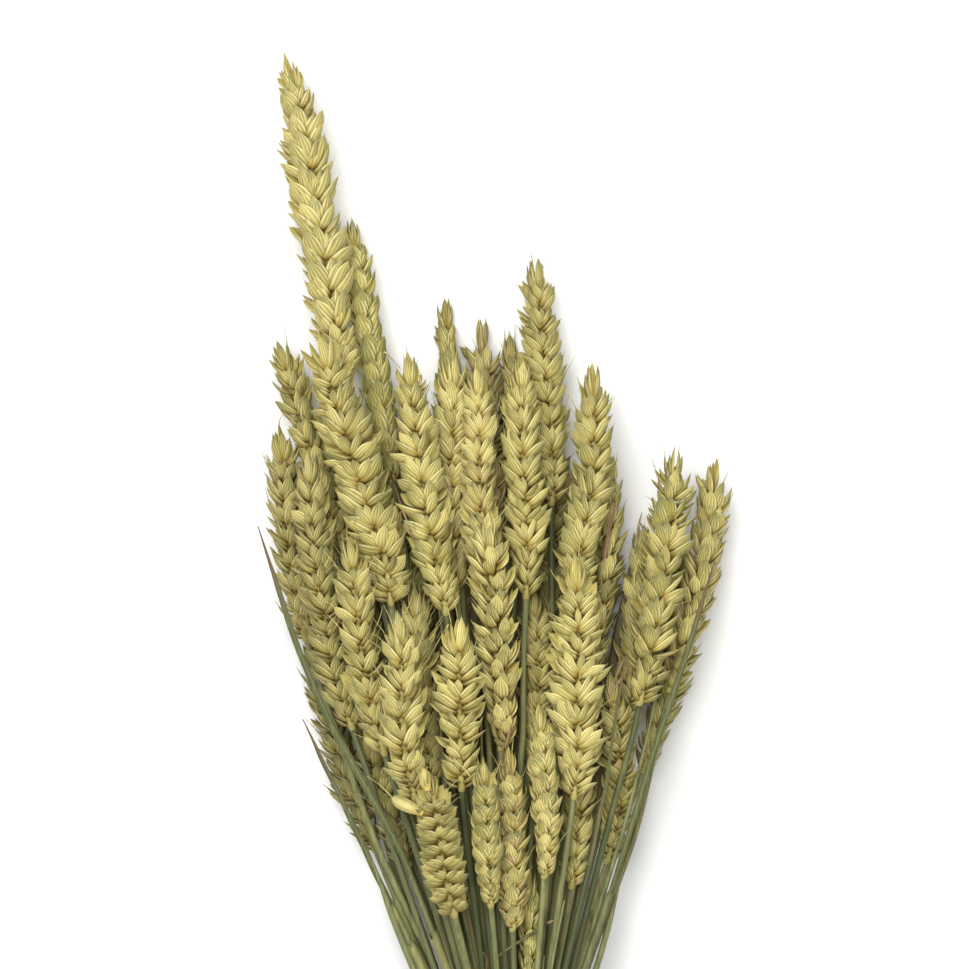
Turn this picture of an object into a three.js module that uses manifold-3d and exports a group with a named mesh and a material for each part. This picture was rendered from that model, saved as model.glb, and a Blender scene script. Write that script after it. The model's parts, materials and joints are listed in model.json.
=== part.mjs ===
// A bundle of dried, beardless wheat, tied at the waist and lying on its side.
// Millimetres, +Z up. The ears point along +Y, the cut ends along -Y, and the bundle rests on z = 0.
// In the first part of this file x = 0, y = 0 is the middle of the waist, where the tie goes round.

import Module from 'manifold-3d';
import * as THREE from 'three';
import { mergeVertices } from 'three/addons/utils/BufferGeometryUtils.js';

const wasm = await Module();
wasm.setup();

// ---------------------------------------------------------------- driving dimensions

const LONGEST_CUT_Y = -259; // the cut end furthest from the ears, 600 mm below the highest tip
const CUT_STAGGER = 24; // how unevenly the straws are cut
const STRAW_RADIUS = 1.45;
const STRAW_SIDES = 5;
const LEAF_HALF_WIDTH = 2.3; // a dry blade is curled, so it is narrow
const LEAF_THICKNESS = 0.8;
const SPIKELET_PITCH = 9; // between neighbouring spikelets of one rank
const HUSK_OVERHANG = 2.2; // how far husk tips reach past the foot of the next spikelet
const WAIST_HEIGHT = 21; // centre of the waist above the surface
const TWINE_RADIUS = 1.05;
const TWINE_TURNS = 3;
const TWINE_PITCH = 2.0;
const CLEARANCE = 0.35; // between pieces that touch on the real bundle

// Each ear: tip and foot of its axis as seen from above, sideways bow, how high it lies in the pile
// (0 on the surface, 4 to 5 on top), turn about its axis (0 shows both ranks side by side, 90 shows
// one rank face on) and half its greatest width.
const EARS = [
  // tip x, tip y, foot x, foot y, bow, layer, turn, half width
  [-72, 341, -55, 237, 0, 2.2, 10, 8.5],
  [-52, 288, -38, 205, -2, 1.8, 70, 5.0],
  [-76, 250, -54, 184, -1, 2.0, 60, 6.2],
  [-62, 250, -35, 166, -2, 3.0, 80, 8.1],
  [-74, 221, -69, 154, 0, 2.2, 50, 7.4],
  [-66, 213, -53, 126, -3, 3.2, 75, 7.4],
  [-52, 186, -43, 118, -2, 3.6, 85, 7.3],
  [-34, 244, -21, 163, -1.5, 4.0, 85, 8.6],
  [-22, 262, -20, 192, 0, 1.2, 80, 4.6],
  [-19, 243, -18, 170, 0, 2.2, 75, 6.4],
  [-12, 241, -9, 166, -1, 3.1, 85, 6.9],
  [-10, 254, -7, 179, 0, 1.2, 30, 6.2],
  [-3, 252, -2, 179, 0, 1.0, 80, 5.2],
  [7, 276, 11, 198, 0, 2.0, 70, 7.8],
  [3, 243, 5, 168, -2, 3.1, 80, 7.4],
  [26, 241, 20.5, 166, 0, 2.6, 75, 7.4],
  [31.5, 213, 28, 141, 0, 1.8, 40, 6.2],
  [52, 214, 38, 134, 2, 2.6, 60, 8.0],
  [64, 211, 48.5, 138, 4.5, 2.0, 20, 7.0],
  [55.5, 184, 39.5, 112, 1, 1.0, 45, 6.4],
  [-8, 194, -3, 120, -1, 4.1, 50, 8.4],
  [20, 179, 21, 104, 0, 4.1, 80, 8.8],
  [-17, 160, -19, 107, 0, 4.0, 85, 8.2],
  [-37, 162, -32, 104, -1, 4.3, 85, 9.2],
  [-32, 170, -29, 109, 0, 3.0, 60, 6.0],
  [-27, 114, -19, 67, -1, 4.6, 5, 9.2],
  [-10, 118, -9, 70, 0, 4.6, 60, 5.8],
  [-1, 120, -2, 62, 1, 4.3, 50, 5.3],
  [9, 134, 10, 79, 0, 4.3, 45, 5.4],
  [7, 170, 7, 115, 0, 2.4, 80, 6.2],
  [25, 114, 20, 75, 0, 3.5, 80, 5.8],
  [5, 80, 4, 37, 0, 3.6, 60, 4.2],
  [-67, 154, -46, 86, 0, 2.0, 45, 7.0],
  [42, 190, 35, 118, 0, 1.6, 80, 6.2],
  [34, 143, 31, 83, 0, 2.0, 70, 6.0],
  [-53, 138, -36, 82, 0, 2.2, 50, 6.0],
  [-59, 208, -43, 134, 0, 0.3, 85, 6.4],
  [-42, 221, -29, 154, 0, 0.4, 80, 6.4],
  [-24, 227, -17, 160, 0, 0.2, 85, 6.4],
  [-5, 221, -3, 150, 0, 0.4, 80, 6.4],
  [14, 218, 11, 147, 0, 0.2, 85, 6.4],
  [30, 192, 24, 125, 0, 0.3, 80, 6.4],
  [45, 179, 35, 115, 0, 0.3, 85, 6.4],
  [-37, 150, -24, 86, 0, 1.0, 75, 6.2],
  [8, 154, 6, 90, 0, 1.0, 80, 6.2],
];

// Each leaf: its name, how high it lies, and points along its blade from the tip down.
const LEAVES = [
  ['leaf_left', 3.6, [[-82, 190], [-75, 170], [-69, 149], [-58, 125], [-45, 102], [-30, 80]]],
  ['leaf_lower_left', 2.6, [[-68, 128], [-62, 117], [-57, 106], [-52, 97], [-47, 84], [-41, 70]]],
  ['leaf_right', 3.4, [[64, 179], [58, 157], [50, 134], [43, 114], [37, 93], [32, 74]]],
  ['leaf_split', 4.4, [[36, 149], [33, 134], [30, 115], [28, 102], [25, 83]]],
];

// ---------------------------------------------------------------- small helpers

const UP = new THREE.Vector3(0, 0, 1);
const clamp = (value, low, high) => Math.min(high, Math.max(low, value));
const mix = (a, b, t) => a + (b - a) * t;
const ramp = (value, from, to) => clamp((value - from) / (to - from), 0, 1);

// A repeatable draw between 0 and 1 for any two whole numbers.
function draw(a, b) {
  const wave = Math.sin(a * 12.9898 + b * 78.233) * 43758.5453;
  return wave - Math.floor(wave);
}

// The x at some y along a list of [x, y] points that runs down in y.
function xAlong(points, y) {
  let place = 0;
  while (place < points.length - 2 && y < points[place + 1][1]) place += 1;
  const [upper, lower] = [points[place], points[place + 1]];
  return mix(lower[0], upper[0], (y - lower[1]) / (upper[1] - lower[1]));
}

// ---------------------------------------------------------------- the stalks

// An ear is fullest below its middle, blunt at its foot and narrower at its tip.
const fullness = (t) => 0.5 + 0.5 * Math.sin(Math.PI * (0.24 + 0.62 * clamp(t, 0, 1)));

const LAYER_HEIGHT = 11.5;
const LOWEST_LAYER = 8;
const layerHeight = (layer) => LOWEST_LAYER + LAYER_HEIGHT * layer;

const earStalks = EARS.map(([tipX, tipY, footX, footY, bow, layer, turn, half], number) => ({
  name: `ear_${String(number + 1).padStart(2, '0')}`,
  number,
  tipY,
  footY,
  turn: THREE.MathUtils.degToRad(turn),
  half,
  height: layerHeight(layer),
  seenX: (y) => {
    const t = (y - footY) / (tipY - footY);
    return mix(footX, tipX, t) + 4 * bow * t * (1 - t);
  },
  radiusAt: (y) => half * fullness((y - footY) / (tipY - footY)) + 0.2,
}));

const leafStalks = LEAVES.map(([name, layer, points], number) => ({
  name,
  number: EARS.length + number,
  tipY: points[0][1],
  footY: points[points.length - 1][1],
  height: layerHeight(layer),
  seenX: (y) => xAlong(points, y),
  radiusAt: () => LEAF_HALF_WIDTH + 0.2,
}));

const stalks = [...earStalks, ...leafStalks];
for (const stalk of stalks) {
  stalk.cutY = LONGEST_CUT_Y + CUT_STAGGER * (stalk.number === 0 ? 0 : draw(stalk.number, 3));
}

// ---------------------------------------------------------------- how the stalks lie

// The stalks are laid down as a person would lay the bundle: each is a row of round slices, one on
// every plane across the bundle, that settles until no two slices touch, the ears keep their places
// as seen from above, and the straws draw together at the waist.
const PLANE_STEP = 8;
const HIGHEST_TIP_Y = Math.max(...stalks.map((stalk) => stalk.tipY));
const PLANE_COUNT = Math.floor((HIGHEST_TIP_Y - LONGEST_CUT_Y) / PLANE_STEP) + 1;
const WAIST_PLANE = Math.round(-LONGEST_CUT_Y / PLANE_STEP);
const planeY = (plane) => LONGEST_CUT_Y + plane * PLANE_STEP;
const SLICE_GAP = 0.6;
const SETTLING_ROUNDS = 700;
const HOLD_ROUNDS = 560; // after these the pulls fade and only contact and stiffness are left
const CROSSING_LIFT = 0.5; // of two stalks that cross, the one that belongs higher passes over
const FLOOR_PRESS = 1.5; // how far the ears that lie on the surface are pressed flat
const WAIST_REACH = 12;
const BUTT_SPREAD = 1.75; // the cut ends stand this much further apart than the straws at the waist

function layOut() {
  const x = stalks.map(() => new Float64Array(PLANE_COUNT));
  const z = stalks.map(() => new Float64Array(PLANE_COUNT));
  const radius = stalks.map(() => new Float64Array(PLANE_COUNT));
  const first = stalks.map((stalk) => Math.ceil((stalk.cutY - LONGEST_CUT_Y) / PLANE_STEP));
  const last = stalks.map((stalk) => Math.floor((stalk.tipY - LONGEST_CUT_Y) / PLANE_STEP));
  const waistX = stalks.map((stalk) => 0.2 * stalk.seenX(stalk.footY));
  const waistZ = stalks.map((stalk) => mix(WAIST_HEIGHT, stalk.height, 0.28));

  stalks.forEach((stalk, i) => {
    for (let k = 0; k < PLANE_COUNT; k += 1) {
      const y = planeY(k);
      const t = ramp(y, 0, stalk.footY);
      x[i][k] = y > stalk.footY ? stalk.seenX(y) : mix(waistX[i], stalk.seenX(stalk.footY), t);
      z[i][k] = mix(waistZ[i], stalk.height, t);
      radius[i][k] = y > stalk.footY - 1 ? stalk.radiusAt(y) : STRAW_RADIUS;
    }
  });

  for (let round = 0; round < SETTLING_ROUNDS; round += 1) {
    const pull = 1 - ramp(round, HOLD_ROUNDS, SETTLING_ROUNDS);
    const pushX = stalks.map(() => new Float64Array(PLANE_COUNT));
    const pushZ = stalks.map(() => new Float64Array(PLANE_COUNT));
    for (let i = 0; i < stalks.length; i += 1) {
      for (let j = i + 1; j < stalks.length; j += 1) {
        const from = Math.max(first[i], first[j]);
        const to = Math.min(last[i], last[j]);
        for (let k = from; k <= to; k += 1) {
          const dx = x[j][k] - x[i][k];
          const rise = z[j][k] - z[i][k];
          const reach = radius[i][k] + radius[j][k] + SLICE_GAP;
          const distance = Math.sqrt(dx * dx + rise * rise);
          if (distance >= reach) continue;
          const dz = rise + (stalks[j].height > stalks[i].height ? CROSSING_LIFT : -CROSSING_LIFT);
          const push = (0.35 * (reach - distance)) / Math.sqrt(dx * dx + dz * dz + 0.0001);
          pushX[i][k] -= push * dx;
          pushZ[i][k] -= push * dz;
          pushX[j][k] += push * dx;
          pushZ[j][k] += push * dz;
        }
      }
    }
    stalks.forEach((stalk, i) => {
      const oldX = Float64Array.from(x[i]);
      const oldZ = Float64Array.from(z[i]);
      for (let k = first[i]; k <= last[i]; k += 1) {
        const y = planeY(k);
        let nextX = oldX[k] + pushX[i][k];
        let nextZ = oldZ[k] + pushZ[i][k];
        if (k > first[i] && k < last[i]) {
          const stiffness = mix(0.06, 0.3, pull);
          nextX += stiffness * ((oldX[k - 1] + oldX[k + 1]) / 2 - oldX[k]);
          nextZ += stiffness * ((oldZ[k - 1] + oldZ[k + 1]) / 2 - oldZ[k]);
        }
        if (y > stalk.footY) {
          nextX += 0.12 * pull * (stalk.seenX(y) - oldX[k]);
          nextZ -= 0.03 * pull;
        }
        const waist = Math.exp(-((y / WAIST_REACH) ** 2));
        nextX -= 0.05 * waist * pull * oldX[k];
        nextZ += 0.05 * waist * pull * (WAIST_HEIGHT - oldZ[k]);
        const butt = ramp(y, -40, LONGEST_CUT_Y);
        nextX += 0.03 * pull * butt * (BUTT_SPREAD * x[i][WAIST_PLANE] - oldX[k]);
        nextZ += 0.03 * pull * butt * (mix(WAIST_HEIGHT, z[i][WAIST_PLANE], BUTT_SPREAD) - oldZ[k]);
        nextZ -= 0.04 * butt;
        x[i][k] = nextX;
        z[i][k] = Math.max(nextZ, radius[i][k] - (y > stalk.footY ? FLOOR_PRESS : 0));
      }
    });
  }
  return stalks.map((stalk, i) => ({ first: first[i], last: last[i], x: x[i], z: z[i] }));
}

const lays = layOut();

// The middle of a stalk at any y, carried on straight past its last slice.
function middleAt(stalk, y) {
  const { first, last, x, z } = lays[stalk.number];
  const place = (y - LONGEST_CUT_Y) / PLANE_STEP;
  const k = clamp(Math.floor(place), first, last - 1);
  const t = place - k;
  return new THREE.Vector3(mix(x[k], x[k + 1], t), y, mix(z[k], z[k + 1], t));
}

// ---------------------------------------------------------------- closed meshes from rings

// Joins rings of points into one closed skin. Each band lists its triangles as pairs of
// [0 or 1 for the lower or upper ring, index in that ring].
function skin(rings, bands, capStart, capEnd) {
  const starts = [];
  const positions = [];
  for (const ring of rings) {
    starts.push(positions.length / 3);
    for (const point of ring) positions.push(point.x, point.y, point.z);
  }
  const index = [];
  bands.forEach((band, r) => {
    for (const corners of band) {
      for (const [upper, place] of corners) index.push(starts[r + upper] + place);
    }
  });
  for (const [a, b, c] of capStart) index.push(starts[0] + c, starts[0] + b, starts[0] + a);
  const end = starts[rings.length - 1];
  for (const [a, b, c] of capEnd) index.push(end + a, end + b, end + c);
  const geometry = new THREE.BufferGeometry();
  geometry.setAttribute('position', new THREE.Float32BufferAttribute(positions, 3));
  geometry.setIndex(index);
  return geometry;
}

// A band between two rings with the same number of points.
function evenBand(count) {
  const band = [];
  for (let a = 0; a < count; a += 1) {
    const b = (a + 1) % count;
    band.push([[0, a], [0, b], [1, b]], [[0, a], [1, b], [1, a]]);
  }
  return band;
}

// A flat fan over a ring of so many points.
function fan(count) {
  return Array.from({ length: count - 2 }, (unused, a) => [0, a + 1, a + 2]);
}

// ---------------------------------------------------------------- ears

// Round an ear the husks of each spikelet end in three tips with notches between. The foot ring has
// three points for each rank and the tip ring five; these are their places as parts of the ear's
// half height (away from the axis, towards the rank) and half width (along the fan).
const FOOT_RING = [[0.3, -0.5], [0.52, 0], [0.3, 0.5]];
const TIP_RING = [[0.4, -0.9], [0.72, -0.42], [1, 0], [0.72, 0.42], [0.4, 0.9]];
const TIP_REACH = [1, -0.3, 1.25, -0.3, 1]; // parts of the overhang, less at the notches
const RANK_HEIGHT = 0.94; // half height of an ear over its half width
const LOWEST_TIPS = 6; // from the foot of an ear to the tips of its lowest husks
const TOP_SPIKELET = 10; // the single spikelet that ends the ear

// The band from a foot ring (3 + 3 points) up to a tip ring (5 + 5 points).
function flareBand() {
  const band = [];
  for (const rank of [0, 1]) {
    const foot = rank * 3;
    const tip = rank * 5;
    const nextFoot = (foot + 3) % 6;
    const nextTip = (tip + 5) % 10;
    for (const [f, t] of [[0, 0], [1, 1], [1, 2], [2, 3]]) {
      band.push([[0, foot + f], [1, tip + t + 1], [1, tip + t]]);
    }
    band.push([[0, foot], [0, foot + 1], [1, tip + 1]]);
    band.push([[0, foot + 1], [0, foot + 2], [1, tip + 3]]);
    band.push([[0, foot + 2], [1, nextTip], [1, tip + 4]]);
    band.push([[0, foot + 2], [0, nextFoot], [1, nextTip]]);
  }
  return band;
}

// The band from a tip ring in under the tips to the next foot ring.
function tuckBand() {
  return flareBand().map((corners) => corners.map(([upper, place]) => [1 - upper, place]).reverse());
}

function makeEar(stalk) {
  const { footY, tipY, half, turn, number } = stalk;
  const rankLength = tipY - footY - LOWEST_TIPS - TOP_SPIKELET;
  const levels = 1 + Math.round(rankLength / SPIKELET_PITCH);
  const pitch = rankLength / (levels - 1);
  const nearBy = 6;

  // A point of the ear from its place along the ear and its parts of half height and half width.
  const place = (y, out, across) => {
    const middle = middleAt(stalk, y);
    const along = middleAt(stalk, y + nearBy).sub(middleAt(stalk, y - nearBy)).normalize();
    const side = new THREE.Vector3().crossVectors(along, UP).normalize();
    const above = new THREE.Vector3().crossVectors(side, along);
    const full = half * fullness((y - footY) / (tipY - footY));
    const u = out * full * RANK_HEIGHT;
    const v = across * full;
    return middle
      .addScaledVector(side, u * Math.cos(turn) - v * Math.sin(turn))
      .addScaledVector(above, u * Math.sin(turn) + v * Math.cos(turn));
  };

  const ring = (parts, level, reach) => {
    const points = [];
    for (const rank of [1, -1]) {
      const offset = rank === 1 ? 0 : 0.5;
      const lowest = footY + 1.2 + 3 * offset;
      const start = Math.max(lowest, footY + LOWEST_TIPS + (level - 1 + offset) * pitch);
      parts.forEach(([out, across], a) => {
        const jitter = 1 + 0.12 * (draw(number * 31 + level, rank * 7 + a) - 0.5);
        const y = start + (reach ? reach[a] * HUSK_OVERHANG * jitter : 0);
        points.push(place(y, rank * out * jitter, -rank * across * jitter));
      });
    }
    return points;
  };

  const neck = FOOT_RING.concat(FOOT_RING).map((unused, a) => {
    const angle = turn - (a - 1) * (Math.PI / 3);
    const middle = middleAt(stalk, footY);
    middle.x += 1.25 * Math.cos(angle);
    middle.z += 1.25 * Math.sin(angle);
    return middle;
  });
  const rings = [neck];
  const bands = [evenBand(6)];
  for (let level = 0; level < levels; level += 1) {
    rings.push(ring(FOOT_RING, level, null), ring(TIP_RING, level + 1, TIP_REACH));
    bands.push(flareBand(), tuckBand());
  }
  rings.push(ring(FOOT_RING, levels, null), [middleAt(stalk, tipY + 1)]);
  bands.push(Array.from({ length: 6 }, (unused, a) => [[0, a], [0, (a + 1) % 6], [1, 0]]));
  return skin(rings, bands, fan(6), []);
}

// ---------------------------------------------------------------- straws and leaves

// Leaves out the slices of a path that are within a tolerance of the straight line past them.
function simplify(points, tolerance) {
  if (points.length < 3) return points;
  const chord = new THREE.Line3(points[0], points[points.length - 1]);
  const distances = points.map((point) => {
    return point.distanceTo(chord.closestPointToPoint(point, true, new THREE.Vector3()));
  });
  const furthest = distances.indexOf(Math.max(...distances));
  if (distances[furthest] < tolerance) return [points[0], points[points.length - 1]];
  const before = simplify(points.slice(0, furthest + 1), tolerance);
  return before.concat(simplify(points.slice(furthest), tolerance).slice(1));
}

// The middles of a stalk's slices from one y to another, with both ends.
function routeOf(stalk, fromY, toY) {
  const inside = Array.from({ length: PLANE_COUNT }, (unused, k) => planeY(k));
  const ys = [fromY, ...inside.filter((y) => y > fromY + 2 && y < toY - 2), toY];
  return ys.map((y) => middleAt(stalk, y));
}

function makeStraw(stalk) {
  const route = simplify(routeOf(stalk, stalk.cutY, stalk.footY - CLEARANCE), 0.35);
  const rings = route.map((middle) => Array.from({ length: STRAW_SIDES }, (unused, a) => {
    const angle = (a / STRAW_SIDES) * 2 * Math.PI;
    const dx = STRAW_RADIUS * Math.cos(angle);
    const dz = STRAW_RADIUS * Math.sin(angle);
    return new THREE.Vector3(middle.x + dx, middle.y, middle.z - dz);
  }));
  const bands = rings.slice(1).map(() => evenBand(STRAW_SIDES));
  return skin(rings, bands, fan(STRAW_SIDES), fan(STRAW_SIDES));
}

// A blade is a shallow trough that narrows to its tip and turns slowly about its length.
function makeLeaf(stalk) {
  const route = simplify(routeOf(stalk, stalk.footY, stalk.tipY), 0.15);
  const rings = route.map((middle) => {
    const t = (middle.y - stalk.footY) / (stalk.tipY - stalk.footY);
    const width = LEAF_HALF_WIDTH * Math.min(1, 0.62 + t, 0.25 + 1.6 * (1 - t));
    const rise = 0.35 * width;
    const thick = LEAF_THICKNESS / 2;
    const tilt = 0.5 * Math.sin(stalk.number + 2.2 * t);
    const section = [[-width, rise - thick], [-width, rise + thick], [0, thick], [width, rise + thick],
      [width, rise - thick], [0, -thick]];
    return section.map(([across, up]) => new THREE.Vector3(
      middle.x + across * Math.cos(tilt) - up * Math.sin(tilt),
      middle.y,
      middle.z + across * Math.sin(tilt) + up * Math.cos(tilt),
    ));
  });
  const halves = [[0, 1, 2], [0, 2, 5], [5, 2, 3], [5, 3, 4]];
  return skin(rings, rings.slice(1).map(() => evenBand(6)), halves, halves);
}

// ---------------------------------------------------------------- joining and cutting

function toSolid(geometry) {
  const bare = geometry.clone();
  bare.deleteAttribute('normal');
  bare.deleteAttribute('uv');
  const merged = mergeVertices(bare, 1e-4);
  return new wasm.Manifold(new wasm.Mesh({
    numProp: 3,
    vertProperties: merged.attributes.position.array,
    triVerts: Uint32Array.from(merged.index.array),
  }));
}

function toGeometry(solid) {
  const mesh = solid.getMesh();
  const geometry = new THREE.BufferGeometry();
  geometry.setAttribute('position', new THREE.BufferAttribute(mesh.vertProperties, 3));
  geometry.setIndex(new THREE.BufferAttribute(mesh.triVerts, 1));
  return geometry;
}

const SURFACE = toSolid(new THREE.BoxGeometry(400, 900, 40).translate(0, 0, -20));

// What lies on the surface is pressed flat against it.
function restOnSurface(geometry) {
  geometry.computeBoundingBox();
  if (geometry.boundingBox.min.z >= 0) return geometry;
  return toGeometry(toSolid(geometry).subtract(SURFACE));
}

// ---------------------------------------------------------------- bunches of straw

const BUNCH_SIZE = 7;
const NEIGHBOUR_DISTANCE = 2 * STRAW_RADIUS + 1.6;

const waistOf = (stalk) => middleAt(stalk, 0);
const apart = (a, b) => waistOf(a).distanceTo(waistOf(b));

// Straws that lie side by side at the waist make one bunch. Each bunch lists its straws and the
// pairs of neighbours that press on each other under the tie.
function gatherBunches() {
  const free = new Set([...stalks].sort((a, b) => waistOf(a).x - waistOf(b).x));
  const bunches = [];
  while (free.size > 0) {
    const [seed] = free;
    free.delete(seed);
    const bunch = { straws: [seed], pairs: [] };
    while (bunch.straws.length < BUNCH_SIZE) {
      let best = null;
      for (const candidate of free) {
        for (const member of bunch.straws) {
          const distance = apart(candidate, member);
          if (distance > NEIGHBOUR_DISTANCE) continue;
          const score = distance + 0.5 * apart(candidate, seed);
          if (!best || score < best.score) best = { score, candidate, member };
        }
      }
      if (!best) break;
      free.delete(best.candidate);
      bunch.straws.push(best.candidate);
      bunch.pairs.push([best.candidate, best.member]);
    }
    bunches.push(bunch);
  }
  return bunches;
}

// The small flat where two straws press on each other.
function makePress([a, b]) {
  const from = waistOf(a);
  const to = waistOf(b);
  const press = new THREE.BoxGeometry(from.distanceTo(to), 5, 1.2);
  press.rotateY(-Math.atan2(to.z - from.z, to.x - from.x));
  const middle = from.add(to).multiplyScalar(0.5);
  return press.translate(middle.x, middle.y, middle.z);
}

function makeBunch(bunch) {
  const pieces = [...bunch.straws.map(makeStraw), ...bunch.pairs.map(makePress)];
  const joined = pieces.map(toSolid).reduce((all, piece) => all.add(piece));
  return restOnSurface(toGeometry(joined));
}

// ---------------------------------------------------------------- tie

const TIE_HALF_LENGTH = (TWINE_PITCH * (TWINE_TURNS - 1)) / 2 + TWINE_RADIUS;

// The outline that a taut twine takes round the straws: a convex hull of eight-sided rims.
function tieOutline(margin) {
  const rims = [];
  const reach = (STRAW_RADIUS + margin) / Math.cos(Math.PI / 8);
  for (const stalk of stalks) {
    for (const y of [-TIE_HALF_LENGTH - 1, 0, TIE_HALF_LENGTH + 1]) {
      const middle = middleAt(stalk, y);
      for (let a = 0; a < 8; a += 1) {
        const angle = ((a + 0.5) / 8) * 2 * Math.PI;
        rims.push(new THREE.Vector2(middle.x + reach * Math.cos(angle), middle.z + reach * Math.sin(angle)));
      }
    }
  }
  rims.sort((a, b) => a.x - b.x || a.y - b.y);
  const turn = (o, a, b) => (a.x - o.x) * (b.y - o.y) - (a.y - o.y) * (b.x - o.x);
  const chain = (points) => {
    const hull = [];
    for (const point of points) {
      while (hull.length > 1 && turn(hull[hull.length - 2], hull[hull.length - 1], point) <= 0) {
        hull.pop();
      }
      hull.push(point);
    }
    return hull.slice(0, -1);
  };
  const hull = [...chain(rims), ...chain([...rims].reverse())];
  return hull.filter((point, a) => point.distanceTo(hull[(a + 1) % hull.length]) > 0.8);
}

// The turns of twine lie side by side: flat against the straws, ribbed outside.
function makeTurns() {
  const outline = tieOutline(CLEARANCE + 0.1);
  const section = [[-TIE_HALF_LENGTH, 0]];
  for (let turn = 0; turn < TWINE_TURNS; turn += 1) {
    const middle = (turn - (TWINE_TURNS - 1) / 2) * TWINE_PITCH;
    section.push([middle - 0.75, 1.75 * TWINE_RADIUS], [middle + 0.75, 1.75 * TWINE_RADIUS]);
    if (turn < TWINE_TURNS - 1) section.push([middle + TWINE_PITCH / 2, 1.1 * TWINE_RADIUS]);
  }
  section.push([TIE_HALF_LENGTH, 0]);
  const rings = outline.map((point, a) => {
    const before = outline[(a + outline.length - 1) % outline.length];
    const after = outline[(a + 1) % outline.length];
    const along = after.clone().sub(before).normalize();
    return section.map(([y, reach]) => (
      new THREE.Vector3(point.x + along.y * reach, y, point.y - along.x * reach)
    ));
  });
  rings.push(rings[0]);
  const bands = rings.slice(1).map(() => evenBand(section.length));
  return skin(rings, bands, [], []);
}

// A short piece of twine along a curve, with closed ends.
function makeTwine(points, steps) {
  const circle = new THREE.Shape().absarc(0, 0, TWINE_RADIUS, 0, 2 * Math.PI);
  const extrudePath = new THREE.CatmullRomCurve3(points.map((point) => new THREE.Vector3(...point)));
  return new THREE.ExtrudeGeometry(circle, { steps, extrudePath, curveSegments: 4, bevelEnabled: false });
}

// The highest straw near a place, so that what lies over the straws clears them.
function strawTop(x, y, reach) {
  const middles = stalks.map((stalk) => middleAt(stalk, y));
  const near = middles.filter((middle) => Math.abs(middle.x - x) < reach);
  return Math.max(...near.map((middle) => middle.z)) + STRAW_RADIUS;
}

// The knot sits on top of the turns: two crossing bights and two trimmed ends.
function makeTie() {
  const knotX = 3;
  const top = strawTop(knotX, 0, 7) + CLEARANCE + 2.2 * TWINE_RADIUS;
  const lift = TWINE_RADIUS + 1.2;
  const bights = [
    [[-3.6, -2.4, -0.8], [-1.5, -1.4, 0.4], [1.5, 1.4, 0.4], [3.6, 2.4, -0.8]],
    [[-3.6, 2.4, -0.8], [-1.5, 1.4, 1.6], [1.5, -1.4, 1.6], [3.6, -2.4, -0.8]],
  ].map((points) => makeTwine(points.map(([x, y, z]) => [knotX + x, y, top + z]), 5));
  const ends = [-1, 1].map((side) => {
    const points = [[knotX + side * 1.2, -1.2, top + 0.9]];
    for (const [across, y] of [[3.2, -6], [5.5, -13], [6.8, -20]]) {
      const x = knotX + side * across;
      points.push([x, y, strawTop(x, y, 4) + lift]);
    }
    return makeTwine(points, 6);
  });
  const joined = [makeTurns(), ...bights, ...ends].map(toSolid).reduce((all, piece) => all.add(piece));
  return toGeometry(joined);
}

// ---------------------------------------------------------------- materials and assembly

function makeMaterial(color, roughness) {
  return new THREE.MeshStandardMaterial({ color, roughness, metalness: 0, flatShading: true });
}

const bundle = new THREE.Group();

function addPiece(name, geometry, material) {
  const mesh = new THREE.Mesh(geometry, material);
  mesh.name = name;
  bundle.add(mesh);
}

for (const stalk of earStalks) {
  addPiece(stalk.name, restOnSurface(makeEar(stalk)), makeMaterial(0xcfc489, 0.75));
}
for (const stalk of leafStalks) {
  addPiece(stalk.name, restOnSurface(makeLeaf(stalk)), makeMaterial(0x7d7a58, 0.7));
}
gatherBunches().forEach((bunch, number) => {
  addPiece(`straws_${number + 1}`, makeBunch(bunch), makeMaterial(0x8b8f62, 0.6));
});
addPiece('tie', makeTie(), makeMaterial(0xa98f5e, 0.9));

// The origin is under the middle of the bundle.
const box = new THREE.Box3().setFromObject(bundle);
bundle.position.set(-(box.min.x + box.max.x) / 2, -(box.min.y + box.max.y) / 2, 0);

export default bundle;
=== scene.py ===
# %% [markdown]
# # A bundle of dried wheat
#
# About forty-five ears of beardless wheat on thin straws, drawn together and tied at the waist. The
# bundle lies on its side and the camera looks straight down on it. The imported solids already have its
# size and its main shapes. This lesson dresses them: every ear is built again from its husks, and the
# straws, leaves and twine get their ribs, sheaths, veins and strands. One ear could be modelled by
# hand and copied, but in a dried bunch no two are alike, so each is worked out from a few numbers.
#
# The first step loads the solids. Nothing here moves or resizes them.

import json
import math

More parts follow.
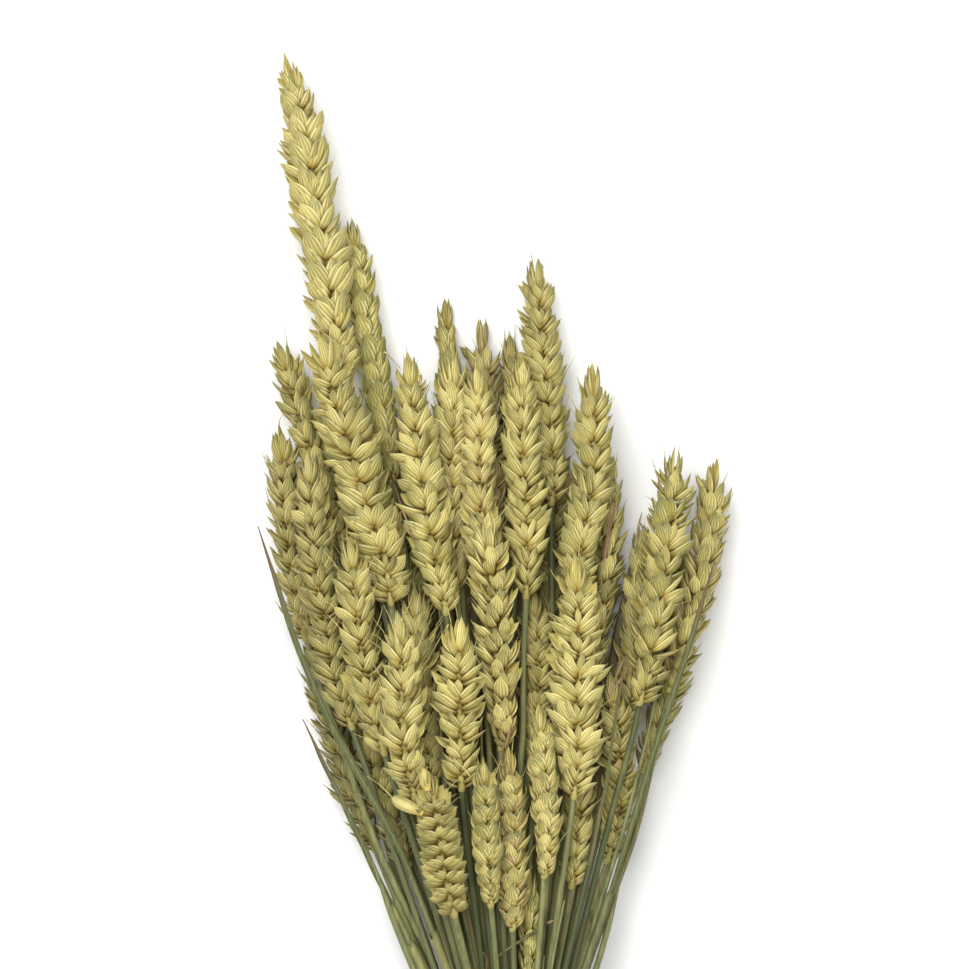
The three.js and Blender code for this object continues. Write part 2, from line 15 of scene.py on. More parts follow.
import bpy
import numpy as np
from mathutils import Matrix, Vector

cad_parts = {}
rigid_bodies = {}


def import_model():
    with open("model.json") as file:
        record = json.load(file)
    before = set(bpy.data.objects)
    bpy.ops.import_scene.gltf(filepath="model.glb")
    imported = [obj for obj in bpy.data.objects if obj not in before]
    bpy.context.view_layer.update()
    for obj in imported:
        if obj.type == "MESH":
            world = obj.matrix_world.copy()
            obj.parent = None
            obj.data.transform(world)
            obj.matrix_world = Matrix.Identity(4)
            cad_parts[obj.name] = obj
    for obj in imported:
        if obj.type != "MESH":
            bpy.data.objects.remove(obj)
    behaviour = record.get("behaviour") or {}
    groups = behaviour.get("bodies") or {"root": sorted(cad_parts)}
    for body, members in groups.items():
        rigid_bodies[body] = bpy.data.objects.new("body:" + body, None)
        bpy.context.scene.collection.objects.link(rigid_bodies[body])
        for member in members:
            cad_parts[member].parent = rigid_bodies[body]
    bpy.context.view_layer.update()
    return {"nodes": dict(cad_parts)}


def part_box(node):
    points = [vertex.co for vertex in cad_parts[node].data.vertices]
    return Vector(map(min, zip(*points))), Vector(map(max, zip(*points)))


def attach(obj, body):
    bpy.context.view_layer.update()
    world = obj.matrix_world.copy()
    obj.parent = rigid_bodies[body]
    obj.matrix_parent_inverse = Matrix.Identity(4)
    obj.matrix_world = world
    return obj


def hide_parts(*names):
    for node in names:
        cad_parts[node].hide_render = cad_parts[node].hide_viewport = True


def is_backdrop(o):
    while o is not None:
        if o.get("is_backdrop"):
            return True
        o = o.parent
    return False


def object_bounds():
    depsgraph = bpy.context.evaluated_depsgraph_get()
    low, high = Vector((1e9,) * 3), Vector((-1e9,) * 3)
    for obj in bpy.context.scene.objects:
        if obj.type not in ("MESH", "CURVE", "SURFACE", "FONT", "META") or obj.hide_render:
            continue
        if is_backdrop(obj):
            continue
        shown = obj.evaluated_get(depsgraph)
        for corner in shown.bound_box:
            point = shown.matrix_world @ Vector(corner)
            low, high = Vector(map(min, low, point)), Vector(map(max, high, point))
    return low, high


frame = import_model()

# %% [markdown]
# ## The camera
#
# Ears at the edge of the picture look as large as those in its middle. An orthographic camera would
# do that, and a long lens from far away does nearly the same and keeps the small trace of depth that
# a real lens gives. The view takes in 310 mm of the bundle, from the highest tip to just above the
# tie, so the lower straws are out of sight. The camera is the first thing made, because everything
# after it is judged through it.

# %% Camera
VIEW_WIDTH = 0.31008
VIEW_MIDDLE = Vector((-0.00278, 0.16186, 0.030))
CAMERA_DISTANCE = 3.2

eye = bpy.data.cameras.new("eye")
eye.sensor_width = 36.0
eye.lens = eye.sensor_width * CAMERA_DISTANCE / VIEW_WIDTH
eye.clip_start, eye.clip_end = 0.1, 20.0
camera = bpy.data.objects.new("camera", eye)
camera.location = VIEW_MIDDLE + Vector((0, 0, CAMERA_DISTANCE))
bpy.context.scene.collection.objects.link(camera)
bpy.context.scene.camera = camera
print("lens", round(eye.lens), "mm at", CAMERA_DISTANCE, "m")

# %% [markdown]
# ## Where every stalk runs
#
# A row of this table is one ear: tip and foot of its axis as seen from above, its sideways bow, how
# high it lies in the pile, its turn about its axis and half its greatest width. The numbers are the
# ones that the solids were made from, in millimetres and degrees, with the middle of the waist at
# zero. The leaves are lists of points from tip to foot. Curves drawn in the viewport could say the
# same, but a table is easier to compare with a picture, ear by ear.

# %% Ears and leaves
EARS = np.array([
    # tip x, tip y, foot x, foot y, bow, layer, turn, half width
    [-72, 341, -55, 237, 0, 2.2, 10, 8.5],
    [-52, 288, -38, 205, -2, 1.8, 70, 5.0],
    [-76, 250, -54, 184, -1, 2.0, 60, 6.2],
    [-62, 250, -35, 166, -2, 3.0, 80, 8.1],
    [-74, 221, -69, 154, 0, 2.2, 50, 7.4],
    [-66, 213, -53, 126, -3, 3.2, 75, 7.4],
    [-52, 186, -43, 118, -2, 3.6, 85, 7.3],
    [-34, 244, -21, 163, -1.5, 4.0, 85, 8.6],
    [-22, 262, -20, 192, 0, 1.2, 80, 4.6],
    [-19, 243, -18, 170, 0, 2.2, 75, 6.4],
    [-12, 241, -9, 166, -1, 3.1, 85, 6.9],
    [-10, 254, -7, 179, 0, 1.2, 30, 6.2],
    [-3, 252, -2, 179, 0, 1.0, 80, 5.2],
    [7, 276, 11, 198, 0, 2.0, 70, 7.8],
    [3, 243, 5, 168, -2, 3.1, 80, 7.4],
    [26, 241, 20.5, 166, 0, 2.6, 75, 7.4],
    [31.5, 213, 28, 141, 0, 1.8, 40, 6.2],
    [52, 214, 38, 134, 2, 2.6, 60, 8.0],
    [64, 211, 48.5, 138, 4.5, 2.0, 20, 7.0],
    [55.5, 184, 39.5, 112, 1, 1.0, 45, 6.4],
    [-8, 194, -3, 120, -1, 4.1, 50, 8.4],
    [20, 179, 21, 104, 0, 4.1, 80, 8.8],
    [-17, 160, -19, 107, 0, 4.0, 85, 8.2],
    [-37, 162, -32, 104, -1, 4.3, 85, 9.2],
    [-32, 170, -29, 109, 0, 3.0, 60, 6.0],
    [-27, 114, -19, 67, -1, 4.6, 5, 9.2],
    [-10, 118, -9, 70, 0, 4.6, 60, 5.8],
    [-1, 120, -2, 62, 1, 4.3, 50, 5.3],
    [9, 134, 10, 79, 0, 4.3, 45, 5.4],
    [7, 170, 7, 115, 0, 2.4, 80, 6.2],
    [25, 114, 20, 75, 0, 3.5, 80, 5.8],
    [5, 80, 4, 37, 0, 3.6, 60, 4.2],
    [-67, 154, -46, 86, 0, 2.0, 45, 7.0],
    [42, 190, 35, 118, 0, 1.6, 80, 6.2],
    [34, 143, 31, 83, 0, 2.0, 70, 6.0],
    [-53, 138, -36, 82, 0, 2.2, 50, 6.0],
    [-59, 208, -43, 134, 0, 0.3, 85, 6.4],
    [-42, 221, -29, 154, 0, 0.4, 80, 6.4],
    [-24, 227, -17, 160, 0, 0.2, 85, 6.4],
    [-5, 221, -3, 150, 0, 0.4, 80, 6.4],
    [14, 218, 11, 147, 0, 0.2, 85, 6.4],
    [30, 192, 24, 125, 0, 0.3, 80, 6.4],
    [45, 179, 35, 115, 0, 0.3, 85, 6.4],
    [-37, 150, -24, 86, 0, 1.0, 75, 6.2],
    [8, 154, 6, 90, 0, 1.0, 80, 6.2],
])
LEAVES = {
    # layer, then points from the tip down
    "leaf_left": (3.6, [(-82, 190), (-75, 170), (-69, 149), (-58, 125), (-45, 102), (-30, 80)]),
    "leaf_lower_left": (2.6, [(-68, 128), (-62, 117), (-57, 106), (-52, 97), (-47, 84), (-41, 70)]),
    "leaf_right": (3.4, [(64, 179), (58, 157), (50, 134), (43, 114), (37, 93), (32, 74)]),
    "leaf_split": (4.4, [(36, 149), (33, 134), (30, 115), (28, 102), (25, 83)]),
}
EAR_COUNT = len(EARS)
STALK_COUNT = EAR_COUNT + len(LEAVES)
tip_x, tip_y, foot_x, foot_y, bow, layer, turn, half_width = EARS.T
print(EAR_COUNT, "ears from", np.min(tip_y - foot_y), "to", np.max(tip_y - foot_y), "mm long")

# %% [markdown]
# ## How the stalks settle
#
# Stalks in a pile push each other aside, so their heights can't be read from above. A rigid body
# simulation could find them, but it would also let the ears slide away from where they are seen. So
# each stalk is taken as a row of round slices, one on every plane across the bundle, and the slices
# are moved in many small rounds. The solids were laid out by the same rounds, so the same rounds give
# the same places. First comes where each stalk starts: its ends, its height in the pile and its line
# as seen from above.

# %% Where the stalks start
LONGEST_CUT = -259.0
CUT_STAGGER = 24.0
STRAW_RADIUS = 1.45
LEAF_RADIUS = 2.5
LAYER_HEIGHT = 11.5
LOWEST_LAYER = 8.0
PLANE_STEP = 8.0


def ramp(value, start, end):
    return np.clip((value - start) / (end - start), 0.0, 1.0)


def blend(a, b, t):
    return a + (b - a) * t


def draw(a, b):
    """A repeatable number from 0 to 1 for any two whole numbers."""
    wave = math.sin(a * 12.9898 + b * 78.233) * 43758.5453
    return wave - math.floor(wave)


def fullness(t):
    """An ear is fullest below its middle, blunt at its foot and narrower at its tip."""
    return 0.5 + 0.5 * np.sin(math.pi * (0.24 + 0.62 * np.clip(t, 0, 1)))


leaf_points = [np.array(points, float)[::-1] for _, points in LEAVES.values()]
stalk_tip = np.append(tip_y, [points[-1, 1] for points in leaf_points])
stalk_foot = np.append(foot_y, [points[0, 1] for points in leaf_points])
stalk_height = LOWEST_LAYER + LAYER_HEIGHT * np.append(layer, [low for low, _ in LEAVES.values()])
stalk_cut = LONGEST_CUT + CUT_STAGGER * np.array([0.0] + [draw(i, 3) for i in range(1, STALK_COUNT)])
planes = np.arange(LONGEST_CUT, stalk_tip.max() + 0.001, PLANE_STEP)
first = np.ceil((stalk_cut - LONGEST_CUT) / PLANE_STEP).astype(int)
last = np.floor((stalk_tip - LONGEST_CUT) / PLANE_STEP).astype(int)


def seen_x(stalk, y):
    """Where a stalk is seen from above, at or above its foot."""
    if stalk >= EAR_COUNT:
        points = leaf_points[stalk - EAR_COUNT]
        inside = np.interp(y, points[:, 1], points[:, 0])
        lowest, highest = points[1] - points[0], points[-1] - points[-2]
        below = points[0, 0] + (y - points[0, 1]) * lowest[0] / lowest[1]
        above = points[-1, 0] + (y - points[-1, 1]) * highest[0] / highest[1]
        return np.where(y < points[0, 1], below, np.where(y > points[-1, 1], above, inside))
    t = (y - foot_y[stalk]) / (tip_y[stalk] - foot_y[stalk])
    return blend(foot_x[stalk], tip_x[stalk], t) + 4 * bow[stalk] * t * (1 - t)


print(STALK_COUNT, "stalks on", len(planes), "planes")

# %% [markdown]
# In each round slices that overlap push apart, neighbours along a stalk even out its bends, the ears
# are drawn back to where they are seen, the straws are drawn together at the waist and let spread at
# the cut ends, and nothing sinks under the surface. Near the end the pull on ears and waist fades, so
# that what still overlaps can part. With numpy all slices of all stalks move at once.

# %% Settle the stalks
WAIST_HEIGHT = 21.0
WAIST_LENGTH = 12.0
ROUNDS = 700
HOLD_ROUNDS = 560
CLEARANCE = 0.6
PUSH = 0.35
CROSSING = 0.5
LOOSE_STIFFNESS, HELD_STIFFNESS = 0.06, 0.3
EAR_HOLD, EAR_WEIGHT = 0.12, 0.03
WAIST_DRAW = 0.05
BUTT_START, BUTT_SPREAD, BUTT_DRAW, BUTT_WEIGHT = -40, 1.75, 0.03, 0.04


def settle():
    shape = (STALK_COUNT, len(planes))
    x, z, radius, target = (np.zeros(shape) for _ in range(4))
    for i in range(STALK_COUNT):
        t = ramp(planes, 0, stalk_foot[i])
        at_foot = seen_x(i, stalk_foot[i])
        target[i] = seen_x(i, planes)
        x[i] = np.where(planes > stalk_foot[i], target[i], blend(0.2 * at_foot, at_foot, t))
        z[i] = blend(blend(WAIST_HEIGHT, stalk_height[i], 0.28), stalk_height[i], t)
        along = (planes - stalk_foot[i]) / (stalk_tip[i] - stalk_foot[i])
        full = half_width[i] * fullness(along) + 0.2 if i < EAR_COUNT else LEAF_RADIUS
        radius[i] = np.where(planes > stalk_foot[i] - 1, full, STRAW_RADIUS)

    column = np.arange(len(planes))
    present = (column >= first[:, None]) & (column <= last[:, None])
    inner = (column > first[:, None]) & (column < last[:, None])
    lower, upper = np.triu_indices(STALK_COUNT, 1)
    both = present[lower] & present[upper]
    reach = np.where(both, radius[lower] + radius[upper] + CLEARANCE, -1.0)
    higher = stalk_height[upper] > stalk_height[lower]
    crossing = np.where(higher, CROSSING, -CROSSING)[:, None]
    share = np.zeros((STALK_COUNT, len(lower)))
    share[lower, np.arange(len(lower))] = -1
    share[upper, np.arange(len(lower))] = 1
    in_ear = planes > stalk_foot[:, None]
    waist = np.exp(-((planes / WAIST_LENGTH) ** 2))
    butt = ramp(planes, BUTT_START, LONGEST_CUT)
    at_waist = round(-LONGEST_CUT / PLANE_STEP)
    floor = radius - np.where(in_ear, 1.5, 0.0)

    for step in range(ROUNDS):
        pull = 1 - ramp(step, HOLD_ROUNDS, ROUNDS)
        dx, rise = x[upper] - x[lower], z[upper] - z[lower]
        distance = np.sqrt(dx * dx + rise * rise)
        dz = rise + crossing
        push = np.where(distance < reach, PUSH * (reach - distance), 0)
        push = push / np.sqrt(dx * dx + dz * dz + 1e-4)
        new_x, new_z = x + share @ (push * dx), z + share @ (push * dz)
        even = np.where(inner, blend(LOOSE_STIFFNESS, HELD_STIFFNESS, pull), 0)[:, 1:-1]
        new_x[:, 1:-1] += even * ((x[:, :-2] + x[:, 2:]) / 2 - x[:, 1:-1])
        new_z[:, 1:-1] += even * ((z[:, :-2] + z[:, 2:]) / 2 - z[:, 1:-1])
        draw_in = WAIST_DRAW * waist * pull
        new_x += np.where(in_ear, EAR_HOLD * pull, 0) * (target - x) - draw_in * x
        new_z += np.where(in_ear, -EAR_WEIGHT * pull, 0) + draw_in * (WAIST_HEIGHT - z)
        spread_x = BUTT_SPREAD * x[:, at_waist:at_waist + 1]
        spread_z = blend(WAIST_HEIGHT, z[:, at_waist:at_waist + 1], BUTT_SPREAD)
        new_x += BUTT_DRAW * pull * butt * (spread_x - x)
        new_z += BUTT_DRAW * pull * butt * (spread_z - z) - BUTT_WEIGHT * butt
        x = np.where(present, new_x, x)
        z = np.where(present, np.maximum(new_z, floor), z)
    return x, z


settled_x, settled_z = settle()
print(STALK_COUNT, "stalks settled in", ROUNDS, "rounds")

# %% [markdown]
# Everything that follows asks where the middle of a stalk is at some y. Straight lines from slice to
# slice would show as kinks in the straws, so the slices are joined by a cubic curve whose slope at
# each slice comes from the slices beside it.

# %% The middle of a stalk
def middle_at(stalk, y):
    """The middle of a stalk at any y: a smooth curve through its slices, straight past its ends."""
    low, high = first[stalk], last[stalk]
    y = np.asarray(y, float)
    place = (y - LONGEST_CUT) / PLANE_STEP - low
    k = np.clip(np.floor(place).astype(int), 0, high - low - 1)
    t = place - k
    out = [None, y, None]
    for axis, values in ((0, settled_x), (2, settled_z)):
        v = values[stalk, low:high + 1]
        slope = np.gradient(v)
        inside = (
            v[k] * (1 + 2 * t) * (1 - t) ** 2 + slope[k] * t * (1 - t) ** 2
            + v[k + 1] * t * t * (3 - 2 * t) + slope[k + 1] * t * t * (t - 1)
        )
        straight = blend(v[k], v[k + 1], t)
        out[axis] = np.where((t < 0) | (t > 1), straight, inside)
    return np.stack(np.broadcast_arrays(*out), axis=-1)


# The solids are centred on their own box, so the highest apex gives the shift from waist to part.
apex = np.array([v.co for v in frame["nodes"]["ear_01"].data.vertices])
apex = apex[np.argmax(apex[:, 1])] * 1000
shift = apex - middle_at(0, stalk_tip[0] + 1)
shift[2] = 0
print("waist stands at", np.round(shift, 2), "mm from the part's middle")

# %% [markdown]
# A check before going on: each settled ear has to lie inside the box of its own solid. A number that
# differs from the one that its solid was made from would show here.

# %% Compare the settled ears with the solids
furthest = 0.0
for i in range(EAR_COUNT):
    low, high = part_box(f"ear_{i + 1:02d}")
    line = middle_at(i, np.linspace(foot_y[i] + 10, tip_y[i] - 14, 9)) + shift
    outside = max(np.max(np.array(low)[[0, 2]] * 1000 - line[:, [0, 2]]),
                  np.max(line[:, [0, 2]] - np.array(high)[[0, 2]] * 1000))
    furthest = max(furthest, outside)
print("furthest that an ear's middle leaves its solid's box:", round(float(furthest), 3), "mm")

# %% [markdown]
# ## Pieces from arrays
#
# Thousands of husks are too many to model one by one. Geometry Nodes could scatter copies of one
# husk, but here each has a shape of its own, so each is a net of points, worked out for all husks of
# an ear at once. This helper turns such arrays into one mesh: points in millimetres from the
# middle of the waist, quads and triangles as rows of point numbers, and named values on the points
# that the materials read later. The piece rides on the bundle's one body and stands for its solids.

# %% Make a piece
PRESSED = 0.0015  # metres; parts lower than this are pressed flat by the surface


def as_unit(v):
    return v / np.maximum(np.linalg.norm(v, axis=-1, keepdims=True), 1e-9)


def make_piece(name, points, quads, triangles, values, material, replaces=()):
    points = (np.asarray(points) + shift) / 1000
    low = points[:, 2] < PRESSED
    points[low, 2] = PRESSED * np.exp(points[low, 2] / PRESSED - 1)
    mesh = bpy.data.meshes.new(name)
    mesh.vertices.add(len(points))
    mesh.vertices.foreach_set("co", points.astype(np.float32).ravel())
    corners = np.concatenate([quads.ravel(), triangles.ravel()]).astype(np.int32)
    sizes = np.repeat([4, 3], [len(quads), len(triangles)])
    mesh.loops.add(len(corners))
    mesh.loops.foreach_set("vertex_index", corners)
    mesh.polygons.add(len(sizes))
    loop_starts = np.concatenate([[0], np.cumsum(sizes)[:-1]]).astype(np.int32)
    mesh.polygons.foreach_set("loop_start", loop_starts)
    mesh.polygons.foreach_set("use_smooth", np.ones(len(sizes), bool))
    for title, value in values.items():
        kept = mesh.attributes.new(title, "FLOAT_VECTOR", "POINT")
        kept.data.foreach_set("vector", np.asarray(value, np.float32).ravel())
    mesh.update(calc_edges=True)
    mesh.materials.append(material)
    piece = bpy.data.objects.new(name, mesh)
    bpy.context.scene.collection.objects.link(piece)
    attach(piece, "root")
    if replaces:
        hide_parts(*replaces)


def ring_quads(rings, around):
    """Quads between neighbouring rings of points, numbered ring by ring."""
    ring, place = np.meshgrid(np.arange(rings - 1), np.arange(around), indexing="ij")
    after = (place + 1) % around
    start = ring * around
    corners = [start + place, start + after, start + around + after, start + around + place]
    return np.stack(corners, axis=-1).reshape(-1, 4)


# %% [markdown]
# Straws, twine and bristles are all tubes along a path. Curve objects with a bevel would give tubes
# too, but there are hundreds of them, and the materials need to know how far along its tube each
# point is. So a tube is a net as well, and many small bodies go into one piece: a parcel gathers
# bodies with their kept values and turns them into one mesh at the end.

# %% Parcels and tubes
class Parcel:
    """Bodies that become one piece."""

    def __init__(self):
        self.bodies = []

    def add(self, body, **values):
        points = body[0]
        kept = {title: np.broadcast_to(value, (len(points), 3)) for title, value in values.items()}
        self.bodies.append((*body[:3], kept))

    def make(self, name, material, slot, replaces=()):
        starts = np.cumsum([0] + [len(body[0]) for body in self.bodies])

        def faces(k, sides):
            return np.concatenate([
                np.asarray(body[k], int).reshape(-1, sides) + start
                for body, start in zip(self.bodies, starts)
            ])

        titles = self.bodies[0][3]
        values = {title: np.concatenate([body[3][title] for body in self.bodies]) for title in titles}
        points = np.concatenate([body[0] for body in self.bodies])
        make_piece(name, points, faces(1, 4), faces(2, 3), values, material, replaces)


def even_steps(points, step):
    """The same path with its points an even step apart."""
    lengths = np.concatenate([[0], np.cumsum(np.linalg.norm(np.diff(points, axis=0), axis=1))])
    places = np.linspace(0, lengths[-1], max(3, round(lengths[-1] / step)))
    return np.stack([np.interp(places, lengths, column) for column in points.T], axis=-1)


def smooth_path(points, rounds):
    for _ in range(rounds):
        points[1:-1] = 0.5 * points[1:-1] + 0.25 * (points[:-2] + points[2:])
    return points


BORE = 0.62  # of a straw's radius, where it is cut open


def path_frames(path):
    """The way along a path and two ways across it, as level and as upright as they can be."""
    along = as_unit(np.gradient(path, axis=0))
    level = as_unit(np.cross(along, [0.0, 0.0, 1.0]))
    return along, level, np.cross(level, along)


def tube(path, radius, sides=10, hollow=False, squash=1.0, start=0.0):
    """A closed tube, and for each of its points the number of its ring."""
    path = np.asarray(path, float)
    radius = np.broadcast_to(radius, len(path))
    _, level, upright = path_frames(path)
    a = start + np.arange(sides) * 2 * math.pi / sides
    rings = (
        path[:, None, :]
        + level[:, None, :] * (radius[:, None] * np.cos(a))[..., None]
        + upright[:, None, :] * (radius[:, None] * squash * np.sin(a))[..., None]
    )
    number = np.arange(len(path), dtype=float)
    if hollow:
        bore = radius[:3] * BORE
        walls = path[:3, None, :] + bore[:, None, None] * (
            level[:3, None, :] * np.cos(a)[:, None] + upright[:3, None, :] * np.sin(a)[:, None]
        )
        rings = np.concatenate([walls[::-1], rings])
        number = np.concatenate([[-3.0, -2.0, -1.0], number])
    k = np.arange(1, sides - 1)
    caps = np.concatenate([
        np.stack([0 * k, k + 1, k], axis=-1),
        np.stack([0 * k, k, k + 1], axis=-1) + (len(rings) - 1) * sides,
    ])
    return rings.reshape(-1, 3), ring_quads(len(rings), sides), caps, np.repeat(number, sides)


# %% [markdown]
# ## Mixing materials
#
# A material is a small web of nodes. Written out node by node it is hard to read, so one class wraps
# a socket and lets Python's own signs add the Math nodes, and one method of a second class makes any
# other node from its type, its settings and what goes into its sockets.

# %% Wires and finishes
def paint(red, green, blue):
    """A colour as it looks on a screen, from 0 to 255, as the linear colour that light works with."""
    parts = [value / 255 for value in (red, green, blue)]
    return tuple(p / 12.92 if p <= 0.04045 else ((p + 0.055) / 1.055) ** 2.4 for p in parts) + (1.0,)


class Wire:
    """A socket that values come out of, with arithmetic."""

    def __init__(self, finish, socket):
        self.finish = finish
        self.socket = socket

    def math(self, operation, *others, flipped=False):
        values = [*others, self] if flipped else [self, *others]
        return self.finish.node("ShaderNodeMath", {"operation": operation}, dict(enumerate(values)))

    def __add__(self, other):
        return self.math("ADD", other)

    def __radd__(self, other):
        return self.math("ADD", other, flipped=True)

    def __sub__(self, other):
        return self.math("SUBTRACT", other)

    def __rsub__(self, other):
        return self.math("SUBTRACT", other, flipped=True)

    def __mul__(self, other):
        return self.math("MULTIPLY", other)

    def __rmul__(self, other):
        return self.math("MULTIPLY", other, flipped=True)

    def __pow__(self, other):
        return self.math("POWER", other)

    def between(self, low, high):
        """0 below low, 1 above high, and smooth between."""
        settings = {"interpolation_type": "SMOOTHSTEP"}
        sockets = {0: self, 1: low, 2: high, 3: 0.0, 4: 1.0}
        return self.finish.node("ShaderNodeMapRange", settings, sockets)


class Finish:
    """One material and the nodes that it is mixed from."""

    def __init__(self, name):
        self.material = bpy.data.materials.new(name)
        self.material.use_nodes = True
        self.tree = self.material.node_tree
        self.tree.nodes.clear()

    def node(self, kind, settings=None, sockets=None, output=0):
        made = self.tree.nodes.new(kind)
        for setting, value in (settings or {}).items():
            setattr(made, setting, value)
        for key, value in (sockets or {}).items():
            by_name = [s for s in made.inputs if key in (s.identifier, s.name)]
            target = made.inputs[key] if isinstance(key, int) else by_name[0]
            if isinstance(value, Wire):
                self.tree.links.new(value.socket, target)
            else:
                target.default_value = value
        by_name = [s for s in made.outputs if output in (s.identifier, s.name)]
        return Wire(self, made.outputs[output] if isinstance(output, int) else by_name[0])

    def mix(self, factor, a, b):
        """Colour a where the factor is 0 and colour b where it is 1."""
        sockets = {"Factor_Float": factor, "A_Color": a, "B_Color": b}
        return self.node("ShaderNodeMix", {"data_type": "RGBA"}, sockets, "Result_Color")

    def shade(self, colour, factor):
        """A colour made lighter or darker by a factor that changes over the surface."""
        sockets = {0: colour, "Scale": factor}
        return self.node("ShaderNodeVectorMath", {"operation": "SCALE"}, sockets)

    def kept(self, title):
        """The three numbers that a mesh keeps on its points under a title."""
        vector = self.node("ShaderNodeAttribute", {"attribute_name": title}, None, "Vector")
        split = self.node("ShaderNodeSeparateXYZ", None, {0: vector})
        outputs = split.socket.node.outputs
        return [Wire(self, outputs[k]) for k in range(3)]

    def where(self):
        return self.node("ShaderNodeTexCoord", None, None, "Object")

    def noise(self, scale, detail, vector=None):
        sockets = {"Vector": vector or self.where(), "Scale": scale, "Detail": detail}
        return self.node("ShaderNodeTexNoise", None, sockets)

    def stretched(self, stretch):
        """Places on the piece, drawn out along one way by a smaller factor."""
        sockets = {0: self.where(), 1: stretch}
        return self.node("ShaderNodeVectorMath", {"operation": "MULTIPLY"}, sockets)

    def bump(self, height, distance, strength):
        sockets = {"Strength": strength, "Distance": distance, "Height": height}
        return self.node("ShaderNodeBump", None, sockets)

    def finish(self, sockets):
        """Ends the material with one surface shader and gives it back."""
        shader = self.node("ShaderNodeBsdfPrincipled", None, sockets)
        out = self.tree.nodes.new("ShaderNodeOutputMaterial")
        self.tree.links.new(shader.socket, out.inputs["Surface"])
        return self.material


# %% [markdown]
# ## Husks
#
# A husk is a small boat: broad below its middle, drawn out to a point, with a keel along its back and
# two finer ribs on each side of it. It could be sculpted once and copied, but then every husk would
# bend and gape alike. Instead one net of points does for all of them: rings go round the boat from
# foot to tip, and each husk has its own place, lean, size, bend and facing.

# %% The net of a husk
HUSK_RINGS = np.array([0.0, 0.08, 0.18, 0.30, 0.43, 0.56, 0.68, 0.79, 0.88, 0.945, 0.985])
OUTER, INNER = 14, 4
AROUND = OUTER + INNER
angle = np.concatenate([
    np.linspace(0, math.pi, OUTER + 1),
    np.linspace(math.pi, 2 * math.pi, INNER + 1)[1:-1],
])
ring_across = np.cos(angle)
roof = 1 - np.abs(ring_across) ** 1.3
ring_out = np.where(angle <= math.pi, 0.5 * np.abs(np.sin(angle)) + 0.55 * roof, 0.25 * np.sin(angle))
HALF_RIBS = [0, 0, -0.03, 0.06, -0.06, 0.07, -0.08]
KEEL = 0.20
RIBS = np.zeros(AROUND)
RIBS[:OUTER + 1] = [*HALF_RIBS, KEEL, *HALF_RIBS[::-1]]


def swell(full_at):
    """Half at a husk's foot, and full from a share of its length on."""
    return 0.50 + 0.50 * np.sin(np.minimum(HUSK_RINGS / full_at, 1) * math.pi / 2)


shoulder = np.clip((HUSK_RINGS - 0.58) / 0.42, 0, 1)
husk_width = (1 - shoulder ** 1.65) * swell(0.40)
husk_depth = (1 - HUSK_RINGS ** 2.6) * swell(0.45)
HUSK_POINTS = len(HUSK_RINGS) * AROUND + 2
husk_quads = ring_quads(len(HUSK_RINGS), AROUND)
place = np.arange(AROUND)
after = (place + 1) % AROUND
top_ring = (len(HUSK_RINGS) - 1) * AROUND
husk_triangles = np.concatenate([
    np.stack([np.full(AROUND, HUSK_POINTS - 2), after, place], axis=-1),
    np.stack([top_ring + place, top_ring + after, np.full(AROUND, HUSK_POINTS - 1)], axis=-1),
])


def lay_husks(husks):
    """All points of many husks. Each array of husks has one row for each husk."""
    along = as_unit(husks["along"])
    out = husks["facing"] - np.sum(husks["facing"] * along, axis=-1, keepdims=True) * along
    out = as_unit(out)
    across = np.cross(along, out)
    s = HUSK_RINGS[None, :, None]
    length, width, depth = (husks[k][:, None, None] for k in ("length", "width", "depth"))
    arch, curl, twist, sway = (husks[k][:, None, None] for k in ("arch", "curl", "twist", "sway"))
    side = width * husk_width[None, :, None] * ring_across
    rise = depth * husk_depth[None, :, None] * (ring_out + RIBS * np.minimum(1, 2.2 * s))
    spin = twist * s
    side, rise = side * np.cos(spin) - rise * np.sin(spin), side * np.sin(spin) + rise * np.cos(spin)
    lift = length * (4 * arch * s * (1 - s) + curl * s ** 3)
    side = side + 4 * sway * length * s * (1 - s)
    forward = length * s + 0 * side
    points = (
        husks["foot"][:, None, None, :]
        + along[:, None, None, :] * forward[..., None]
        + out[:, None, None, :] * (rise + lift)[..., None]
        + across[:, None, None, :] * side[..., None]
        + husks["hook"][:, None, None, :] * (length * s ** 2.4)[..., None]
    ).reshape(len(along), -1, 3)
    tip = husks["foot"] + along * (husks["length"] + husks["beak"])[:, None]
    tip = tip + out * (husks["length"] * husks["curl"] + husks["beak"] * 0.2)[:, None]
    tip = tip + husks["hook"] * (husks["length"] + 2.0 * husks["beak"])[:, None]
    return np.concatenate([points, husks["foot"][:, None, :], tip[:, None, :]], axis=1)


def husk_values(draws):
    """Across and along each husk, and the husk's own draw with 2 added on its inner face."""
    across = np.append(np.tile(ring_across, len(HUSK_RINGS)), [0, 0])
    along = np.append(np.repeat(HUSK_RINGS, AROUND), [0, 1])
    inner = np.append(np.tile(np.where(angle > math.pi, 1.0, 0.0), len(HUSK_RINGS)), [0, 0])
    count = len(draws)
    own = np.repeat(draws, HUSK_POINTS) + 2 * np.tile(inner, count)
    return np.stack([np.tile(across, count), np.tile(along, count), own], axis=-1)


print("a husk has", HUSK_POINTS, "points and", len(husk_quads) + len(husk_triangles), "faces")

# %% [markdown]
# ## Spikelets
#
# A spikelet is a fan of husks on a very short stem of its own: two outer husks low at the sides, then
# florets to the left and right in turn, and a small one at the end. Seen from the front they make
# the V of a wheat ear, and seen from the side the row of points along its edge. One modelled spikelet
# could be set along every ear, but the same fan forty times over is what makes a copied ear look
# false. So a table gives the usual fan, and every husk strays from it by a draw of its own. Two ranks
# of spikelets climb an ear, half a step apart.

